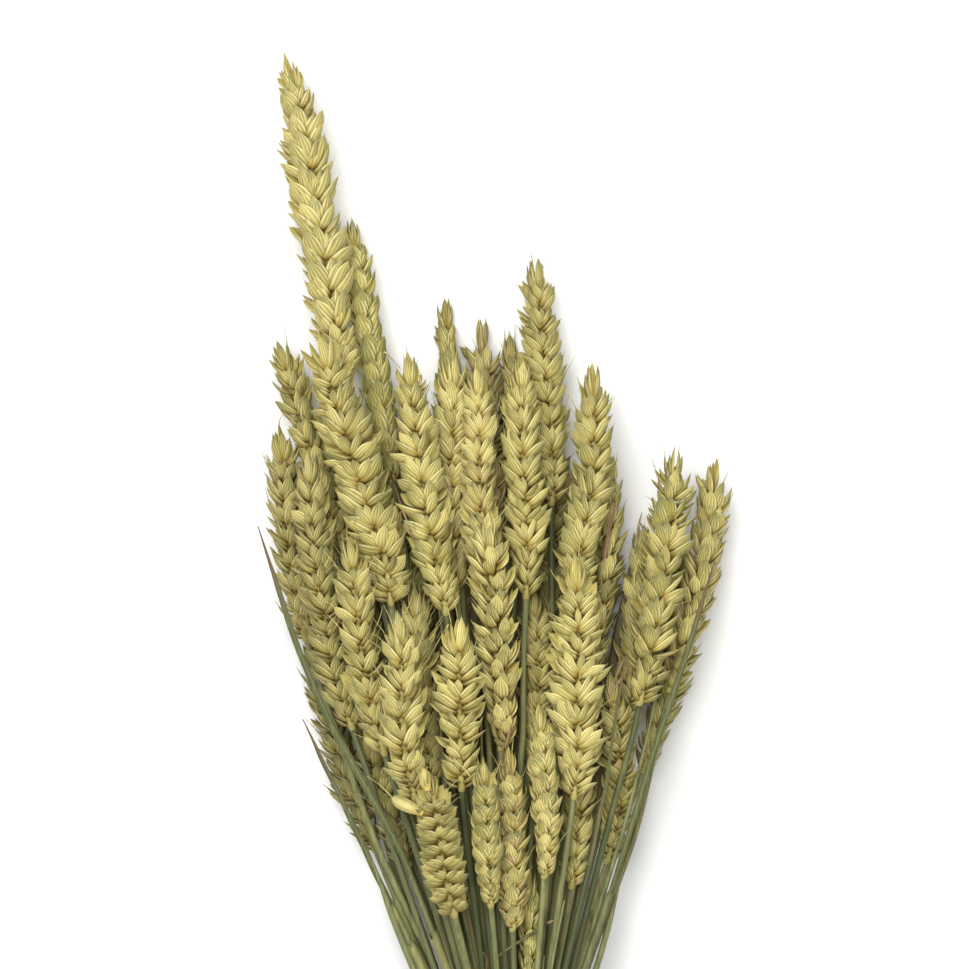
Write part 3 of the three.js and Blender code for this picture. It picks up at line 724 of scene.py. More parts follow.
# %% The husks of one spikelet
SPIKELET = np.array([
    # side, start on the stem, fan angle, lift angle, length, half width, depth, facing sideways
    [-1, 0.00, 52, 16, 8.4, 1.95, 1.05, 0.62],
    [1, 0.05, 52, 17, 8.4, 1.95, 1.05, 0.62],
    [-1, 0.28, 50, 21, 9.8, 2.05, 1.20, 0.52],
    [1, 0.36, 50, 21, 9.8, 2.05, 1.20, 0.52],
    [-1, 0.66, 46, 25, 9.6, 1.95, 1.20, 0.45],
    [1, 0.76, 45, 26, 9.5, 1.95, 1.20, 0.45],
    [-1, 0.94, 33, 29, 8.9, 1.65, 1.15, 0.36],
    [1, 1.04, 31, 30, 8.7, 1.60, 1.15, 0.34],
    [0, 1.10, 5, 32, 6.3, 1.35, 1.10, 0.00],
])
HOOK = 0.16
PITCH = 7.9
LOWEST_TIPS = 6.0
TOP_SPIKELET = 10.0
USUAL_HALF = 8.4


def axes_at(stalk, y, turned):
    """Middle of an ear and the ways along it, towards a rank and across the fan."""
    middle = middle_at(stalk, y)
    along = as_unit(middle_at(stalk, y + 6) - middle_at(stalk, y - 6))
    side = as_unit(np.cross(along, [0.0, 0.0, 1.0]))
    above = np.cross(side, along)
    angle = math.radians(turned)
    rank = side * math.cos(angle) + above * math.sin(angle)
    fan = above * math.cos(angle) - side * math.sin(angle)
    return middle, along, rank, fan


def husk_rows(count):
    names = ("length", "width", "depth", "arch", "curl", "twist", "sway", "beak", "draw", "t")
    rows = {name: np.zeros(count) for name in names}
    rows.update({name: np.zeros((count, 3)) for name in ("foot", "along", "facing", "hook")})
    return rows


def spikelet_husks(stalk, look, rng):
    """The husks of the two ranks of one ear."""
    foot, tip = stalk_foot[stalk], stalk_tip[stalk]
    rank_length = tip - foot - LOWEST_TIPS - TOP_SPIKELET
    levels = 1 + round(rank_length / look["pitch"])
    pitch = rank_length / (levels - 1)
    stations = []
    for level in range(levels):
        for way, offset in ((1, 0.0), (-1, 0.5)):
            start = foot + LOWEST_TIPS + (level - 1 + offset) * pitch
            stations.append((max(start, foot + 1.0 + 2.5 * offset), way, level))
    stations = np.array(stations)
    y, way, level = stations[:, 0], stations[:, 1], stations[:, 2]
    middle, along, rank, fan = axes_at(stalk, y, look["turn"])
    rank = rank * way[:, None]
    t = (y + 5 - foot) / (tip - foot)
    half = half_width[stalk] * fullness(t) * look["size"]
    edge = math.cos(math.radians(look["turn"])) ** 2
    young = 0.72 + 0.28 * ramp(level, 0, 2)
    size = (half / USUAL_HALF) ** 0.45 * young
    size = size * (1 - look["taper"] * ramp(t, 0.7, 1.0)) * look["husk"]
    open_fan = (half / USUAL_HALF) ** 0.7 * look["open"] * (1 - look["taper"] * ramp(t, 0.8, 1.0))

    parts = len(SPIKELET)
    rows = husk_rows(len(y) * parts)
    grid = lambda v: np.repeat(v, parts, axis=0)
    side, start, fan_angle, lift, length, width, depth, sideways = (
        np.tile(column, len(y)) for column in SPIKELET.T
    )
    half, size, open_fan = grid(half), grid(size), grid(open_fan)
    along, rank, fan, middle = grid(along), grid(rank), grid(fan), grid(middle)
    jitter = lambda spread: rng.uniform(-spread, spread, len(side)) * look["wild"]
    side = np.where(side == 0, rng.choice([-1.0, 1.0], len(side)), side)
    a = -1.0 + start * 0.64 * pitch
    u = half * (0.05 + 0.22 * start)
    v = side * (0.10 * half * (1 - start) + 0.2)
    whole = lambda spread: grid(rng.uniform(-spread, spread, len(y))) * look["wild"]
    gape = np.where(rng.random(len(side)) > look["gape"], 1.0, 0.0)
    spread = fan_angle * open_fan * (1 - 0.4 * edge)
    phi = np.radians(spread + jitter(10) + side * whole(9) + whole(5) + look["droop"])
    psi = np.radians(lift * look["lift"] + jitter(9) + whole(7) + 14 * gape)
    way_out = (
        along * (np.cos(psi) * np.cos(phi))[:, None]
        + rank * np.sin(psi)[:, None]
        + fan * (side * np.cos(psi) * np.sin(phi))[:, None]
    )
    rows["foot"] = middle + along * a[:, None] + rank * u[:, None] + fan * v[:, None]
    rows["along"] = way_out
    bend = along - np.sum(along * way_out, axis=-1, keepdims=True) * way_out
    rows["hook"] = bend * (look["hook"] + jitter(0.10) - 0.12 * gape)[:, None]
    sideways = sideways + 0.3 * edge * np.abs(side)
    rows["facing"] = rank * (1 - sideways + jitter(0.12))[:, None] + fan * (side * sideways)[:, None]
    rows["length"] = length * size * (1 + jitter(0.13) + whole(0.07))
    rows["width"] = width * size * (1 + jitter(0.20)) * look["plump"]
    rows["depth"] = depth * size * (1 + jitter(0.14)) * look["plump"]
    rows["arch"] = 0.02 + jitter(0.02)
    rows["curl"] = 0.01 + jitter(0.05)
    rows["twist"] = jitter(0.6)
    rows["sway"] = jitter(0.045)
    rows["beak"] = 0.3 + 1.8 * rng.random(len(side)) ** 4
    rows["draw"] = rng.random(len(side))
    rows["t"] = np.clip(grid(t), 0, 1)
    return rows


# %% [markdown]
# An ear ends in a single spikelet that is turned against the rest, so its fan fills the gap between
# the two ranks. It could be left out, but then every ear would look cut off. Its husks have leans of
# their own, given one by one, because this is the part of an ear that stands out against the floor.

# %% The husks of the top spikelet
TOP_FAN = np.array([-31, 30, -22, 23, -12, 11, 2, 0])
TOP_FRONT = np.array([8, 9, 2, 14, -8, 10, -4, 6])


def top_husks(stalk, look, rng):
    """The husks of the single spikelet that ends an ear."""
    tip = stalk_tip[stalk]
    count = len(TOP_FAN)
    rows = husk_rows(count)
    middle, along, rank, fan = axes_at(stalk, tip - look["top"], look["turn"] + look["top_turn"])
    half = half_width[stalk] * look["size"]
    size = (half / USUAL_HALF) ** 0.4 * look["husk"]
    fanned = TOP_FAN * look["open"] * look["top_open"]
    fanned += rng.uniform(-5, 5, count)
    lean = np.radians(fanned)
    front = np.radians(TOP_FRONT + rng.uniform(-4, 4, count))
    inner = np.arange(count) / count
    rows["foot"] = middle + along * (3.2 * inner)[:, None] + rank * (0.9 * np.sin(lean))[:, None]
    rows["along"] = (
        along * (np.cos(lean) * np.cos(front))[:, None]
        + rank * (np.sin(lean) * np.cos(front))[:, None]
        + fan * np.sin(front)[:, None]
    )
    to_front = np.where(front > 0, 1.0, -1.0)
    rows["facing"] = fan * to_front[:, None] + rank * (0.7 * np.sign(lean))[:, None]
    bend = along - np.sum(along * rows["along"], axis=-1, keepdims=True) * rows["along"]
    rows["hook"] = bend * look["hook"]
    rows["length"] = blend(8.4, 11.0, inner) * size * (1 + rng.uniform(-0.12, 0.10, count))
    rows["width"] = blend(1.75, 1.30, inner) * size
    rows["depth"] = blend(1.2, 1.0, inner) * size
    rows["arch"] = np.full(count, 0.02)
    rows["curl"] = rng.uniform(-0.03, 0.03, count)
    rows["twist"] = rng.uniform(-0.4, 0.4, count)
    rows["sway"] = rng.uniform(-0.03, 0.03, count)
    rows["beak"] = 0.5 + 1.2 * rng.random(count)
    rows["length"][-1] += look["point"]
    rows["draw"] = rng.random(count)
    rows["t"] = np.ones(count)
    return rows


# %% [markdown]
# ## Ears
#
# The ears of one bundle aren't alike. Some are open and some tight, some still hold a little green,
# and one low in front is short with its spikelets standing straight out. Pure chance could make them
# differ, but it wouldn't put the open ear where it is seen. So each ear's look starts from the usual
# one, some are changed by their number, and only small draws come on top.

# %% The looks of the ears
USUAL = {
    "pitch": PITCH, "size": 1.06, "husk": 1.0, "open": 1.0, "lift": 1.0, "droop": 0.0,
    "plump": 1.0, "awn": 5.0, "green": 0.15, "bright": 0.5, "rosy": 0.0, "hook": HOOK, "top_turn": 40,
    "gape": 0.91, "hairy": 0.22, "wild": 1.0, "top_open": 1.0, "point": 0.0,
    "top": 11.6, "taper": 0.16,
}
LOOKS = {
    1: {"pitch": 9.8, "open": 0.78, "bright": 0.9, "turn": 76, "green": 0.0, "hook": 0.06,
        "husk": 1.16, "plump": 1.1, "shade": 0.95, "hairy": 0.05, "top_open": 0.45, "point": 1.5,
        "top": 15.0, "taper": 0.42, "gape": 0.97},
    2: {"open": 0.7, "plump": 1.32, "husk": 0.95, "green": 0.5, "size": 1.3, "hairy": 0.03,
        "hook": 0.24, "turn": 68, "wild": 0.7, "shade": 0.98, "top": 10.6},
    4: {"size": 1.2, "open": 1.1, "husk": 1.05, "top_open": 1.3, "shade": 0.89},
    5: {"shade": 0.78},
    6: {"hairy": 0.4, "awn": 6.0, "shade": 0.78},
    7: {"hairy": 0.8, "awn": 7.0, "bright": 0.6, "wild": 1.2, "shade": 0.92},
    9: {"open": 0.75, "plump": 1.25, "green": 0.6, "size": 1.32, "hairy": 0.05, "hook": 0.22,
        "top": 9.8},
    10: {"size": 1.2, "husk": 1.12, "top_open": 1.5, "bright": 0.9, "shade": 1.04},
    11: {"bright": 0.7, "rosy": 0.35, "top_open": 1.4, "shade": 1.02},
    12: {"size": 1.25, "open": 1.1, "husk": 1.12, "top": 9.6, "top_open": 1.5, "rosy": 0.5},
    13: {"size": 1.1, "top_open": 0.6, "taper": 0.3},
    14: {"taper": 0.26},
    15: {"bright": 0.65, "shade": 1.0},
    16: {"top_open": 0.7, "taper": 0.34},
    18: {"size": 1.18, "taper": 0.0},
    19: {"size": 1.18, "taper": 0.0},
    21: {"bright": 0.65, "turn": 40, "open": 0.95, "shade": 1.04},
    22: {"bright": 0.85, "awn": 7.0, "turn": 88, "hairy": 0.35, "shade": 1.05},
    23: {"bright": 0.85, "open": 1.08, "awn": 9.0, "hook": 0.10, "pitch": 8.4, "gape": 0.82,
         "shade": 1.05},
    24: {"bright": 0.75, "awn": 8.0, "hairy": 0.4},
    25: {"awn": 8.0, "hairy": 0.8, "bright": 0.7},
    26: {"pitch": 4.5, "droop": 16.0, "lift": 1.1, "bright": 0.5, "turn": 90, "husk": 0.72,
         "plump": 1.25, "hook": 0.06, "hairy": 0.03, "wild": 0.35, "gape": 1.0, "shade": 0.88},
    27: {"green": 0.45, "turn": 80, "pitch": 6.4, "plump": 1.5, "husk": 0.86, "wild": 0.6,
         "hook": 0.22},
    28: {"rosy": 0.6, "awn": 9.0, "pitch": 5.4, "husk": 0.88, "plump": 1.35, "lift": 1.2,
         "hairy": 0.4, "size": 1.3},
    29: {"turn": 70, "pitch": 6.6, "plump": 1.45, "husk": 0.86, "wild": 0.7, "hook": 0.22},
    32: {"open": 0.6, "plump": 1.1, "green": 0.6, "size": 1.15},
    33: {"shade": 0.62, "green": 0.35},
    36: {"shade": 0.68, "green": 0.3},
}
print(len(LOOKS), "of", EAR_COUNT, "ears have a look of their own")

# %% [markdown]
# The stem of an ear runs up its middle, bent a little to and fro from spikelet to spikelet, and shows
# at the foot with a small collar. Some husks end in a short curved bristle. Hair particles could make
# those, but the bristles would then be no part of the mesh, so they are thin tubes. An ear's husks,
# stem and bristles become one piece, and every point keeps what the finish asks for: its place on its
# husk, its place in the ear and how far out from the stem it lies, which the finish uses to paint
# shade near the stem.

# %% Build an ear
EAR_SEED = 9100


def rachis(stalk, look):
    """The stem inside an ear, from its collar to the top spikelet."""
    y = np.arange(stalk_foot[stalk] - 3.6, stalk_tip[stalk] - TOP_SPIKELET + 1, 0.9)
    middle, _, rank, _ = axes_at(stalk, y, look["turn"])
    up = y - stalk_foot[stalk]
    path = middle + rank * (0.45 * np.sin(up * 2 * math.pi / look["pitch"]))[:, None]
    collar = 0.32 * np.exp(-((up + 0.2) / 0.7) ** 2)
    broad = blend(0.5, 1.0, ramp(up, -3.4, -1.0)) - 0.004 * up + collar
    return tube(path, broad, sides=10)


def bristles(husks, look, rng):
    """Short curved bristles on the points of some husks, most of them near the top of an ear."""
    chance = look["hairy"] * (0.10 + 0.9 * husks["t"] ** 2)
    for k in np.flatnonzero(rng.random(len(chance)) < chance):
        way = as_unit(husks["along"][k] + 2.0 * husks["hook"][k])
        reach = (husks["along"][k] + 0.9 * husks["hook"][k]) * husks["length"][k] * 0.97
        start = husks["foot"][k] + reach
        length = look["awn"] * (0.3 + 0.9 * rng.random() ** 1.5)
        t = np.linspace(0, 1, 6)
        bend = rng.normal(0, 0.16, 3) * length
        path = start + way * (length * t)[:, None] + bend * (t ** 2)[:, None]
        yield tube(path, 0.15 - 0.10 * t, sides=4), husks["draw"][k]


def build_ear(stalk, material):
    number = stalk + 1
    rng = np.random.default_rng(EAR_SEED + number)
    side = -1 if tip_x[stalk] < -30 else 1
    turned = 90 - side * 0.7 * (90 - turn[stalk])
    look = {**USUAL, "turn": turned, **LOOKS.get(number, {})}
    look["top_turn"] += rng.uniform(-20, 20)
    # The shade factor is painted shade: an ear lower in the pile is darker. Where an ear's look gives
    # its own factor, that ear is made lighter or darker one by one, in tone as well as in shade.
    look["shade"] = look.get("shade", 0.72 + 0.06 * layer[stalk])
    for part, spread in (("open", 0.10), ("husk", 0.07), ("pitch", 0.08), ("plump", 0.10)):
        look[part] *= 1 + rng.uniform(-spread, spread) * look["wild"]
    look["green"] += rng.uniform(-0.1, 0.15)
    look["bright"] += rng.uniform(-0.12, 0.12)
    sides, top = spikelet_husks(stalk, look, rng), top_husks(stalk, look, rng)
    husks = {key: np.concatenate([sides[key], top[key]]) for key in sides}
    points = lay_husks(husks)
    count = len(points)
    starts = (np.arange(count) * HUSK_POINTS)[:, None, None]
    body = points.reshape(-1, 3), (husk_quads[None] + starts), (husk_triangles[None] + starts)
    # How far out from the stem each point lies. The finish paints shade where this is small; near the
    # tip it counts as far out, so the topmost husks get none.
    away = (body[0] - middle_at(stalk, body[0][:, 1]))[:, [0, 2]]
    deep = np.linalg.norm(away, axis=1) / half_width[stalk]
    deep += ramp(body[0][:, 1], tip_y[stalk] - 12, tip_y[stalk] - 4)
    place = np.stack([np.repeat(husks["t"], HUSK_POINTS), np.zeros(len(deep)), deep], axis=-1)
    always = {"tint": [look["bright"], look["green"], look["rosy"]], "shade": [look["shade"], 0, 0]}
    parcel = Parcel()
    parcel.add(body, husk=husk_values(husks["draw"]), ear=place, **always)
    parcel.add(rachis(stalk, look), husk=[0.0, 0.5, 0.5], ear=[0.0, 1.0, 0.6], **always)
    for bristle, own in bristles(husks, look, rng):
        parcel.add(bristle, husk=[0.0, 0.9, own], ear=[1.0, 0.0, 1.0], **always)
    parcel.make(f"ear_husks_{number:02d}", material, "husk", [f"ear_{number:02d}"])
    return count


# %% [markdown]
# ## The finish of the husks
#
# A dry husk is dull and straw gold. It has a pale papery rim, it is yellow at its foot, and a weathered
# one has gone grey-green at its tip. Shade and light are painted in as well: painted shade between its
# veins, along a thin line at its edge, at its foot and near the stem of the ear, a painted highlight on
# its rim, and a painted shade factor for each ear, darker low in the pile. A painted image could show
# this on one husk, but there are thousands and each has to differ. So the points keep how far they lie
# across and along their husk, and the colour is mixed from those numbers one mark after another, with
# the husk's own draw and some noise for what is uneven. The veins also lift the surface a little, as a
# bump.

# %% Husk finish
VEINS = 14.6  # radians of vein from the middle of a husk to its edge


def husk_finish():
    f = Finish("dry husk")
    across, along, draws = f.kept("husk")
    t, stem, deep = f.kept("ear")
    bright, green, rosy = f.kept("tint")
    shade = f.kept("shade")[0]
    inner = draws.math("GREATER_THAN", 1.5)
    own = draws - 2 * inner
    patch = f.noise(160.0, 3.0)
    fine = f.noise(900.0, 2.0, f.stretched((1.0, 0.3, 1.0)))
    shape = own * 0.8 + patch * 0.7 - 0.25
    colour = f.mix(shape, paint(225, 210, 125), paint(174, 159, 72))
    colour = f.mix(bright * 0.5, colour, paint(235, 223, 154))
    colour = f.mix(green * (0.35 + 0.65 * own), colour, paint(146, 148, 66))
    colour = f.mix(rosy * own.between(0.4, 0.8) * 0.7, colour, paint(208, 166, 124))
    vein = (across * VEINS).math("COSINE") * 0.5 + 0.5
    # Painted shade: darker in the valleys between the veins, which are also ribs of the net.
    vein_valley_shade = (1 - vein) ** 2.2 * (1 - along.between(0.9, 1.0))
    colour = f.mix(vein_valley_shade * (0.35 + 0.5 * fine), colour, paint(132, 114, 46))
    beside = across.math("ABSOLUTE")
    # The pale rim is partly the papery margin of the husk and partly a painted highlight where its edge
    # catches the light.
    rim = beside.between(0.78, 0.92) * along.between(0.15, 0.4) * (1 - along.between(0.7, 0.9))
    colour = f.mix(rim * 0.6, colour, paint(242, 232, 176))
    # Painted shadow: a thin dark line along the edge of every husk, where it lies over the next.
    edge = beside.between(0.93, 0.99) * along.between(0.1, 0.3)
    colour = f.mix(edge * 0.8, colour, paint(112, 106, 58))
    # The foot of every husk is golden and darker: partly its own colour, partly painted shade where the
    # husks overlap, stronger above the lowest spikelets.
    foot = 1 - along.between(0.0, 0.30)
    colour = f.mix(foot * (0.3 + 0.4 * t.between(0.05, 0.25)), colour, paint(182, 150, 54))
    weathered = 1.3 - bright
    tip = along.between(0.60, 0.97) * own.between(0.30, 0.65) * weathered
    colour = f.mix(tip * 0.6, colour, paint(130, 134, 92))
    nerve = (1 - vein ** 0.6) * along.between(0.40, 0.75) * own.between(0.15, 0.45) * weathered
    colour = f.mix(nerve * 0.8, colour, paint(84, 92, 62))
    margin = beside.between(0.90, 0.99) * along.between(0.50, 0.85)
    margin = margin * own.between(0.15, 0.45) * weathered
    colour = f.mix(margin * 0.7, colour, paint(92, 100, 66))
    scar = f.noise(420.0, 3.0, f.stretched((1.0, 0.4, 1.0))).between(0.60, 0.72)
    colour = f.mix(scar * 0.45 * along.between(0.3, 0.6), colour, paint(112, 112, 74))
    colour = f.mix(inner * 0.5, colour, paint(188, 170, 84))
    colour = f.mix(stem * 0.9, colour, paint(174, 163, 94))
    # Painted shade near the stem of the ear, where a point lies deep inside it.
    hollow = 1 - deep.between(0.22, 0.58)
    colour = f.mix(hollow * 0.6, colour, paint(132, 108, 40))
    # Painted shade: the whole ear is scaled by its shade factor, darker for ears low in the pile.
    colour = f.shade(colour, shade)
    rough = 0.62 + 0.2 * fine
    normal = f.bump(vein * 0.7 + fine * 0.6, 0.00016, 0.7)
    return f.finish({"Base Color": colour, "Roughness": rough, "Normal": normal, "IOR": 1.45})


husk_material = husk_finish()
husk_counts = [build_ear(stalk, husk_material) for stalk in range(EAR_COUNT)]
print(len(husk_counts), "ears of", sum(husk_counts), "husks")

# %% [markdown]
# ## Straws
#
# A wheat straw is a thin tube with fine ribs. Its upper part is bare. Lower down it is wrapped in the
# sheath of its top leaf, which is a little wider, ends in a torn edge and starts at a knot in the
# straw. The cut end is open. A cylinder bent by a curve would give the straw, but a sheath is a sheet
# with two edges, so one helper closes a grid of points into a thin sheet and the other lays such a
# sheet once round a straw.

# %% Sheets and sheaths
SHEATH_THICKNESS = 0.14


def sheath_wrap(path, radius, rng):
    """A leaf sheath: a thin sheet once round the straw, one edge lapped over the other."""
    along, level, upright = path_frames(path)
    a = np.linspace(0, 2 * math.pi + 0.5, 15)
    t = np.linspace(0, 1, len(path))
    flare = radius + 0.08 + 0.45 * np.clip((t - 0.93) / 0.07, 0, 1) ** 2
    outer = flare[:, None] + SHEATH_THICKNESS + 0.18 * (a / a[-1])[None, :]
    turned = np.concatenate([a, a[::-1]]) + rng.uniform(0, 2 * math.pi)
    reach = np.concatenate([outer, outer[:, ::-1] - SHEATH_THICKNESS], axis=1)
    rings = (
        path[:, None, :]
        + level[:, None, :] * (reach * np.cos(turned))[..., None]
        + upright[:, None, :] * (reach * np.sin(turned))[..., None]
    )
    ragged = rng.uniform(-2.5, 2.5, len(a))
    rings[-1] += along[-1] * np.concatenate([ragged, ragged[::-1]])[:, None]
    return sheet_body(rings)


def sheet_body(rings):
    """A thin closed sheet. Each ring runs over its upper face and back over its under face."""
    count, sides = rings.shape[:2]
    k = np.arange(sides // 2 - 1)
    end = (count - 1) * sides
    ends = np.concatenate([
        np.stack([k, sides - 1 - k, sides - 2 - k, k + 1], axis=-1),
        np.stack([end + k, end + k + 1, end + sides - 2 - k, end + sides - 1 - k], axis=-1),
    ])
    quads = np.concatenate([ring_quads(count, sides), ends])
    return rings.reshape(-1, 3), quads, np.zeros((0, 3), int), np.repeat(np.arange(count), sides)


# %% [markdown]
# Every straw follows its own stalk from the cut to the foot of the ear, and goes into the piece that
# stands for the solid it belongs to. Knot and sheath are laid over it as bodies of their own, because
# a single tube can't overlap itself. Each point keeps what kind of body it is on.

# %% Build the straws
STRAW, SHEATH, KNOT, ROLLED = 0.0, 1.0, 2.0, 3.0
STRAW_SEED = 4200
LOWER_RADIUS = 1.22
BARE_RADIUS = 0.95
SHEATH_RADIUS = 1.16
LOWEST_KNOT, HIGHEST_KNOT = -190, -40


def add_straw(parcel, body, kind, own):
    place = body[3].astype(float)
    parcel.add(body, straw=np.stack([0 * place + kind, 0 * place + own, place], axis=-1))


def straw_parts(stalk, parcel):
    rng = np.random.default_rng(STRAW_SEED + stalk)
    own = rng.random()
    y = np.arange(stalk_cut[stalk], stalk_foot[stalk] - 2.0, 3.0)
    y = np.append(y, stalk_foot[stalk] - 1.5)
    knot = rng.uniform(LOWEST_KNOT, HIGHEST_KNOT)
    size = rng.uniform(0.9, 1.12)
    narrow = blend(LOWER_RADIUS - 0.08, BARE_RADIUS, ramp(y, knot, stalk_foot[stalk]))
    swelling = 0.45 * np.exp(-(((y - knot) / 1.9) ** 2))
    radius = size * np.where(y < knot, LOWER_RADIUS, narrow) + swelling
    add_straw(parcel, tube(middle_at(stalk, y), radius, hollow=True), STRAW, own)
    ring = np.linspace(knot - 1.6, knot + 1.6, 5)
    swollen = size * np.array([1.3, 1.6, 1.68, 1.6, 1.3])
    add_straw(parcel, tube(middle_at(stalk, ring), swollen), KNOT, own)
    top = min(knot + rng.uniform(80, 190), stalk_foot[stalk] - 12)
    sheath = np.arange(knot + 2.0, top, 4.0)
    if len(sheath) > 4:
        wrap = sheath_wrap(middle_at(stalk, sheath), size * SHEATH_RADIUS, rng)
        add_straw(parcel, wrap, SHEATH, own)


def nearest_node(stalk):
    """The solid that a straw belongs to, found at the foot of its ear."""
    end = (middle_at(stalk, stalk_foot[stalk] - 0.35) + shift) / 1000
    apart = {name: np.min(np.linalg.norm(found - end, axis=1)) for name, found in straw_nodes.items()}
    return min(apart, key=apart.get)


straw_nodes = {
    name: np.array([v.co for v in node.data.vertices])
    for name, node in frame["nodes"].items() if name.startswith("straws_")
}
parcels = {name: Parcel() for name in straw_nodes}
for stalk in range(STALK_COUNT):
    straw_parts(stalk, parcels[nearest_node(stalk)])
print("straws, knots and sheaths:", sum(len(parcel.bodies) for parcel in parcels.values()))

# %% [markdown]
# Between the straws run thin dry leaves that have rolled up along their length, and weak side shoots
# that never made an ear. They fill the gaps of the bundle. Each could be drawn by hand as a curve,
# but halfway between two straws that lie close together there is always room, so each runs there, up
# to some place below or among the ears.

# %% Rolled leaves between the straws
ROLLED_COUNT = 46
ROLLED_SEED = 77


def add_rolled():
    rng = np.random.default_rng(ROLLED_SEED)
    check = np.linspace(10, 110, 6)
    lines = np.array([middle_at(i, check) for i in range(STALK_COUNT)])
    gaps = np.linalg.norm(lines[:, None] - lines[None], axis=-1).mean(-1)
    pairs = [(gaps[i, j], i, j) for i in range(STALK_COUNT) for j in range(i + 1, STALK_COUNT)]
    pairs = sorted(p for p in pairs if p[0] > 4.2)[:4 * ROLLED_COUNT]
    chosen = rng.permutation(len(pairs))[:ROLLED_COUNT]
    for k in chosen:
        _, i, j = pairs[k]
        y_top = min(stalk_foot[i], stalk_foot[j], 150) + rng.uniform(-30, 35)
        y_low = max(stalk_cut[i], stalk_cut[j]) + rng.uniform(2, 60)
        y = np.arange(y_low, y_top, 4.0)
        share = rng.uniform(0.35, 0.65)
        path = blend(middle_at(i, y), middle_at(j, y), share)
        path[:, 2] -= 0.6
        near = np.exp(-((y / 60) ** 2))
        path[:, 0] += (1 - near) * rng.uniform(-2.0, 2.0) * np.sin(y / 37 + rng.uniform(0, 6))
        t = (y - y_low) / (y_top - y_low)
        radius = rng.uniform(0.75, 1.15) * np.minimum(1, 0.25 + 5 * (1 - t))
        radius = radius * (1 - 0.35 * near)
        body = tube(path, radius, 8, squash=rng.uniform(0.45, 0.9))
        add_straw(parcels[nearest_node(i)], body, ROLLED, rng.random())


add_rolled()
print(ROLLED_COUNT, "rolled leaves run between the straws")

# %% [markdown]
# Deep in the bundle, between and under the ears, lie broken blades in the darkest colour of the straw,
# as painted shade: they stand for the deep shade between the stalks. Without them the pale floor would
# show through every small gap, and a real bunch is seldom seen through. Filling the inside with one
# dark body would do it too, but that would look solid from the side. Some blades are laid under ears
# picked by chance, and then every place that is still open as seen from above gets one.

# %% Dark blades low in the bundle, as painted shade
UNDER_COUNT = 60
UNDER_SEED, GAP_SEED = 31, 57
WAIST_RISE = 26.0
# The darkest draws, so that these blades stand for the shade deep in the bundle.
UNDER_SHADE_OWN, GAP_SHADE_OWN = 0.95, 0.97  # high values are the darkest for the straw finish
OPEN_STEP_Y, OPEN_STEP_X = 5.0, 1.6
EDGE_MARGIN = 5
OPEN_RIGHT_END = 26.0
STRAW_REACH = 1.2


def low_down(y, height):
    """Heights of a blade that lies low in the bundle and rises into the waist with the straws."""
    return height + WAIST_RISE * np.exp(-np.maximum(y, 0) / WAIST_RISE)


def add_shade_blades_under_ears():
    """Blades in the darkest straw colour, as painted shade, lying low among the ears, where the bundle
    is seldom seen through.
    """
    rng = np.random.default_rng(UNDER_SEED)
    inside = [i for i in range(EAR_COUNT) if 150 < stalk_tip[i] < 252 and -62 < tip_x[i] < 55]
    for _ in range(UNDER_COUNT):
        i = rng.choice(inside)
        y_top = min(stalk_tip[i] - rng.uniform(14, 60), 215)
        y = np.arange(max(20.0, y_top - rng.uniform(70, 130)), y_top, 4.0)
        path = middle_at(i, y)
        centre = np.interp(y, [0, 60, 240], [0, 0, -12])
        path[:, 0] = blend(path[:, 0], centre, rng.uniform(0.02, 0.5))
        path[:, 0] += rng.uniform(-1.5, 1.5) * np.sin(y / 25 + rng.uniform(0, 6))
        path[:, 2] = np.minimum(path[:, 2], low_down(y, rng.uniform(2.5, 12.0)))
        t = np.linspace(0, 1, len(y))
        radius = rng.uniform(1.6, 2.8) * np.minimum(1, 0.2 + 3 * (1 - t)) * np.minimum(1, 0.3 + 4 * t)
        start = rng.uniform(0, math.pi)
        body = tube(path, radius, 8, squash=0.3, start=start)
        add_straw(parcels[nearest_node(i)], body, ROLLED, UNDER_SHADE_OWN)


def open_places():
    """Places well inside the bundle's outline with no stalk above or below them."""
    for y in np.arange(82.0, 215.0, OPEN_STEP_Y):
        here = [i for i in range(STALK_COUNT) if stalk_cut[i] < y < stalk_tip[i] - 8]
        x = np.array([middle_at(i, y)[0] for i in here])
        ears = [i < EAR_COUNT and y > stalk_foot[i] for i in here]
        reach = np.array([0.8 * half_width[i] if ear else STRAW_REACH for i, ear in zip(here, ears)])
        start = min(x - reach) + EDGE_MARGIN
        end = min(max(x + reach) - EDGE_MARGIN, OPEN_RIGHT_END)
        for place in np.arange(start, end, OPEN_STEP_X):
            apart = np.abs(place - x)
            if np.all(apart > reach):
                yield place, y, here[int(np.argmin(apart))]


def add_shade_blades_in_gaps():
    """Blades in the darkest straw colour, as painted shade, low in the bundle, laid through the open
    places.
    """
    rng = np.random.default_rng(GAP_SEED)
    laid = []
    for x, y, near in open_places():
        if any(low < y < top and abs(x - np.interp(y, *line)) < 1.8 for low, top, line in laid):
            continue
        top, low = y + rng.uniform(8, 16), y - rng.uniform(45, 80)
        steps = np.arange(low, top, 4.0)
        path = middle_at(near, steps)
        path[:, 0] += (x - middle_at(near, y)[0]) * np.clip(steps / y, 0, 1.2)
        path[:, 2] = low_down(steps, rng.uniform(2.0, 7.0))
        laid.append((low, top, (steps, path[:, 0])))
        t = np.linspace(0, 1, len(steps))
        radius = rng.uniform(1.7, 2.4) * np.minimum(1, 0.3 + 4 * (1 - t)) * np.minimum(1, 0.3 + 4 * t)
        add_straw(parcels[nearest_node(near)], tube(path, radius, 8, squash=0.3), ROLLED, GAP_SHADE_OWN)
    print(len(laid), "dark blades lie in the gaps")


add_shade_blades_under_ears()
add_shade_blades_in_gaps()

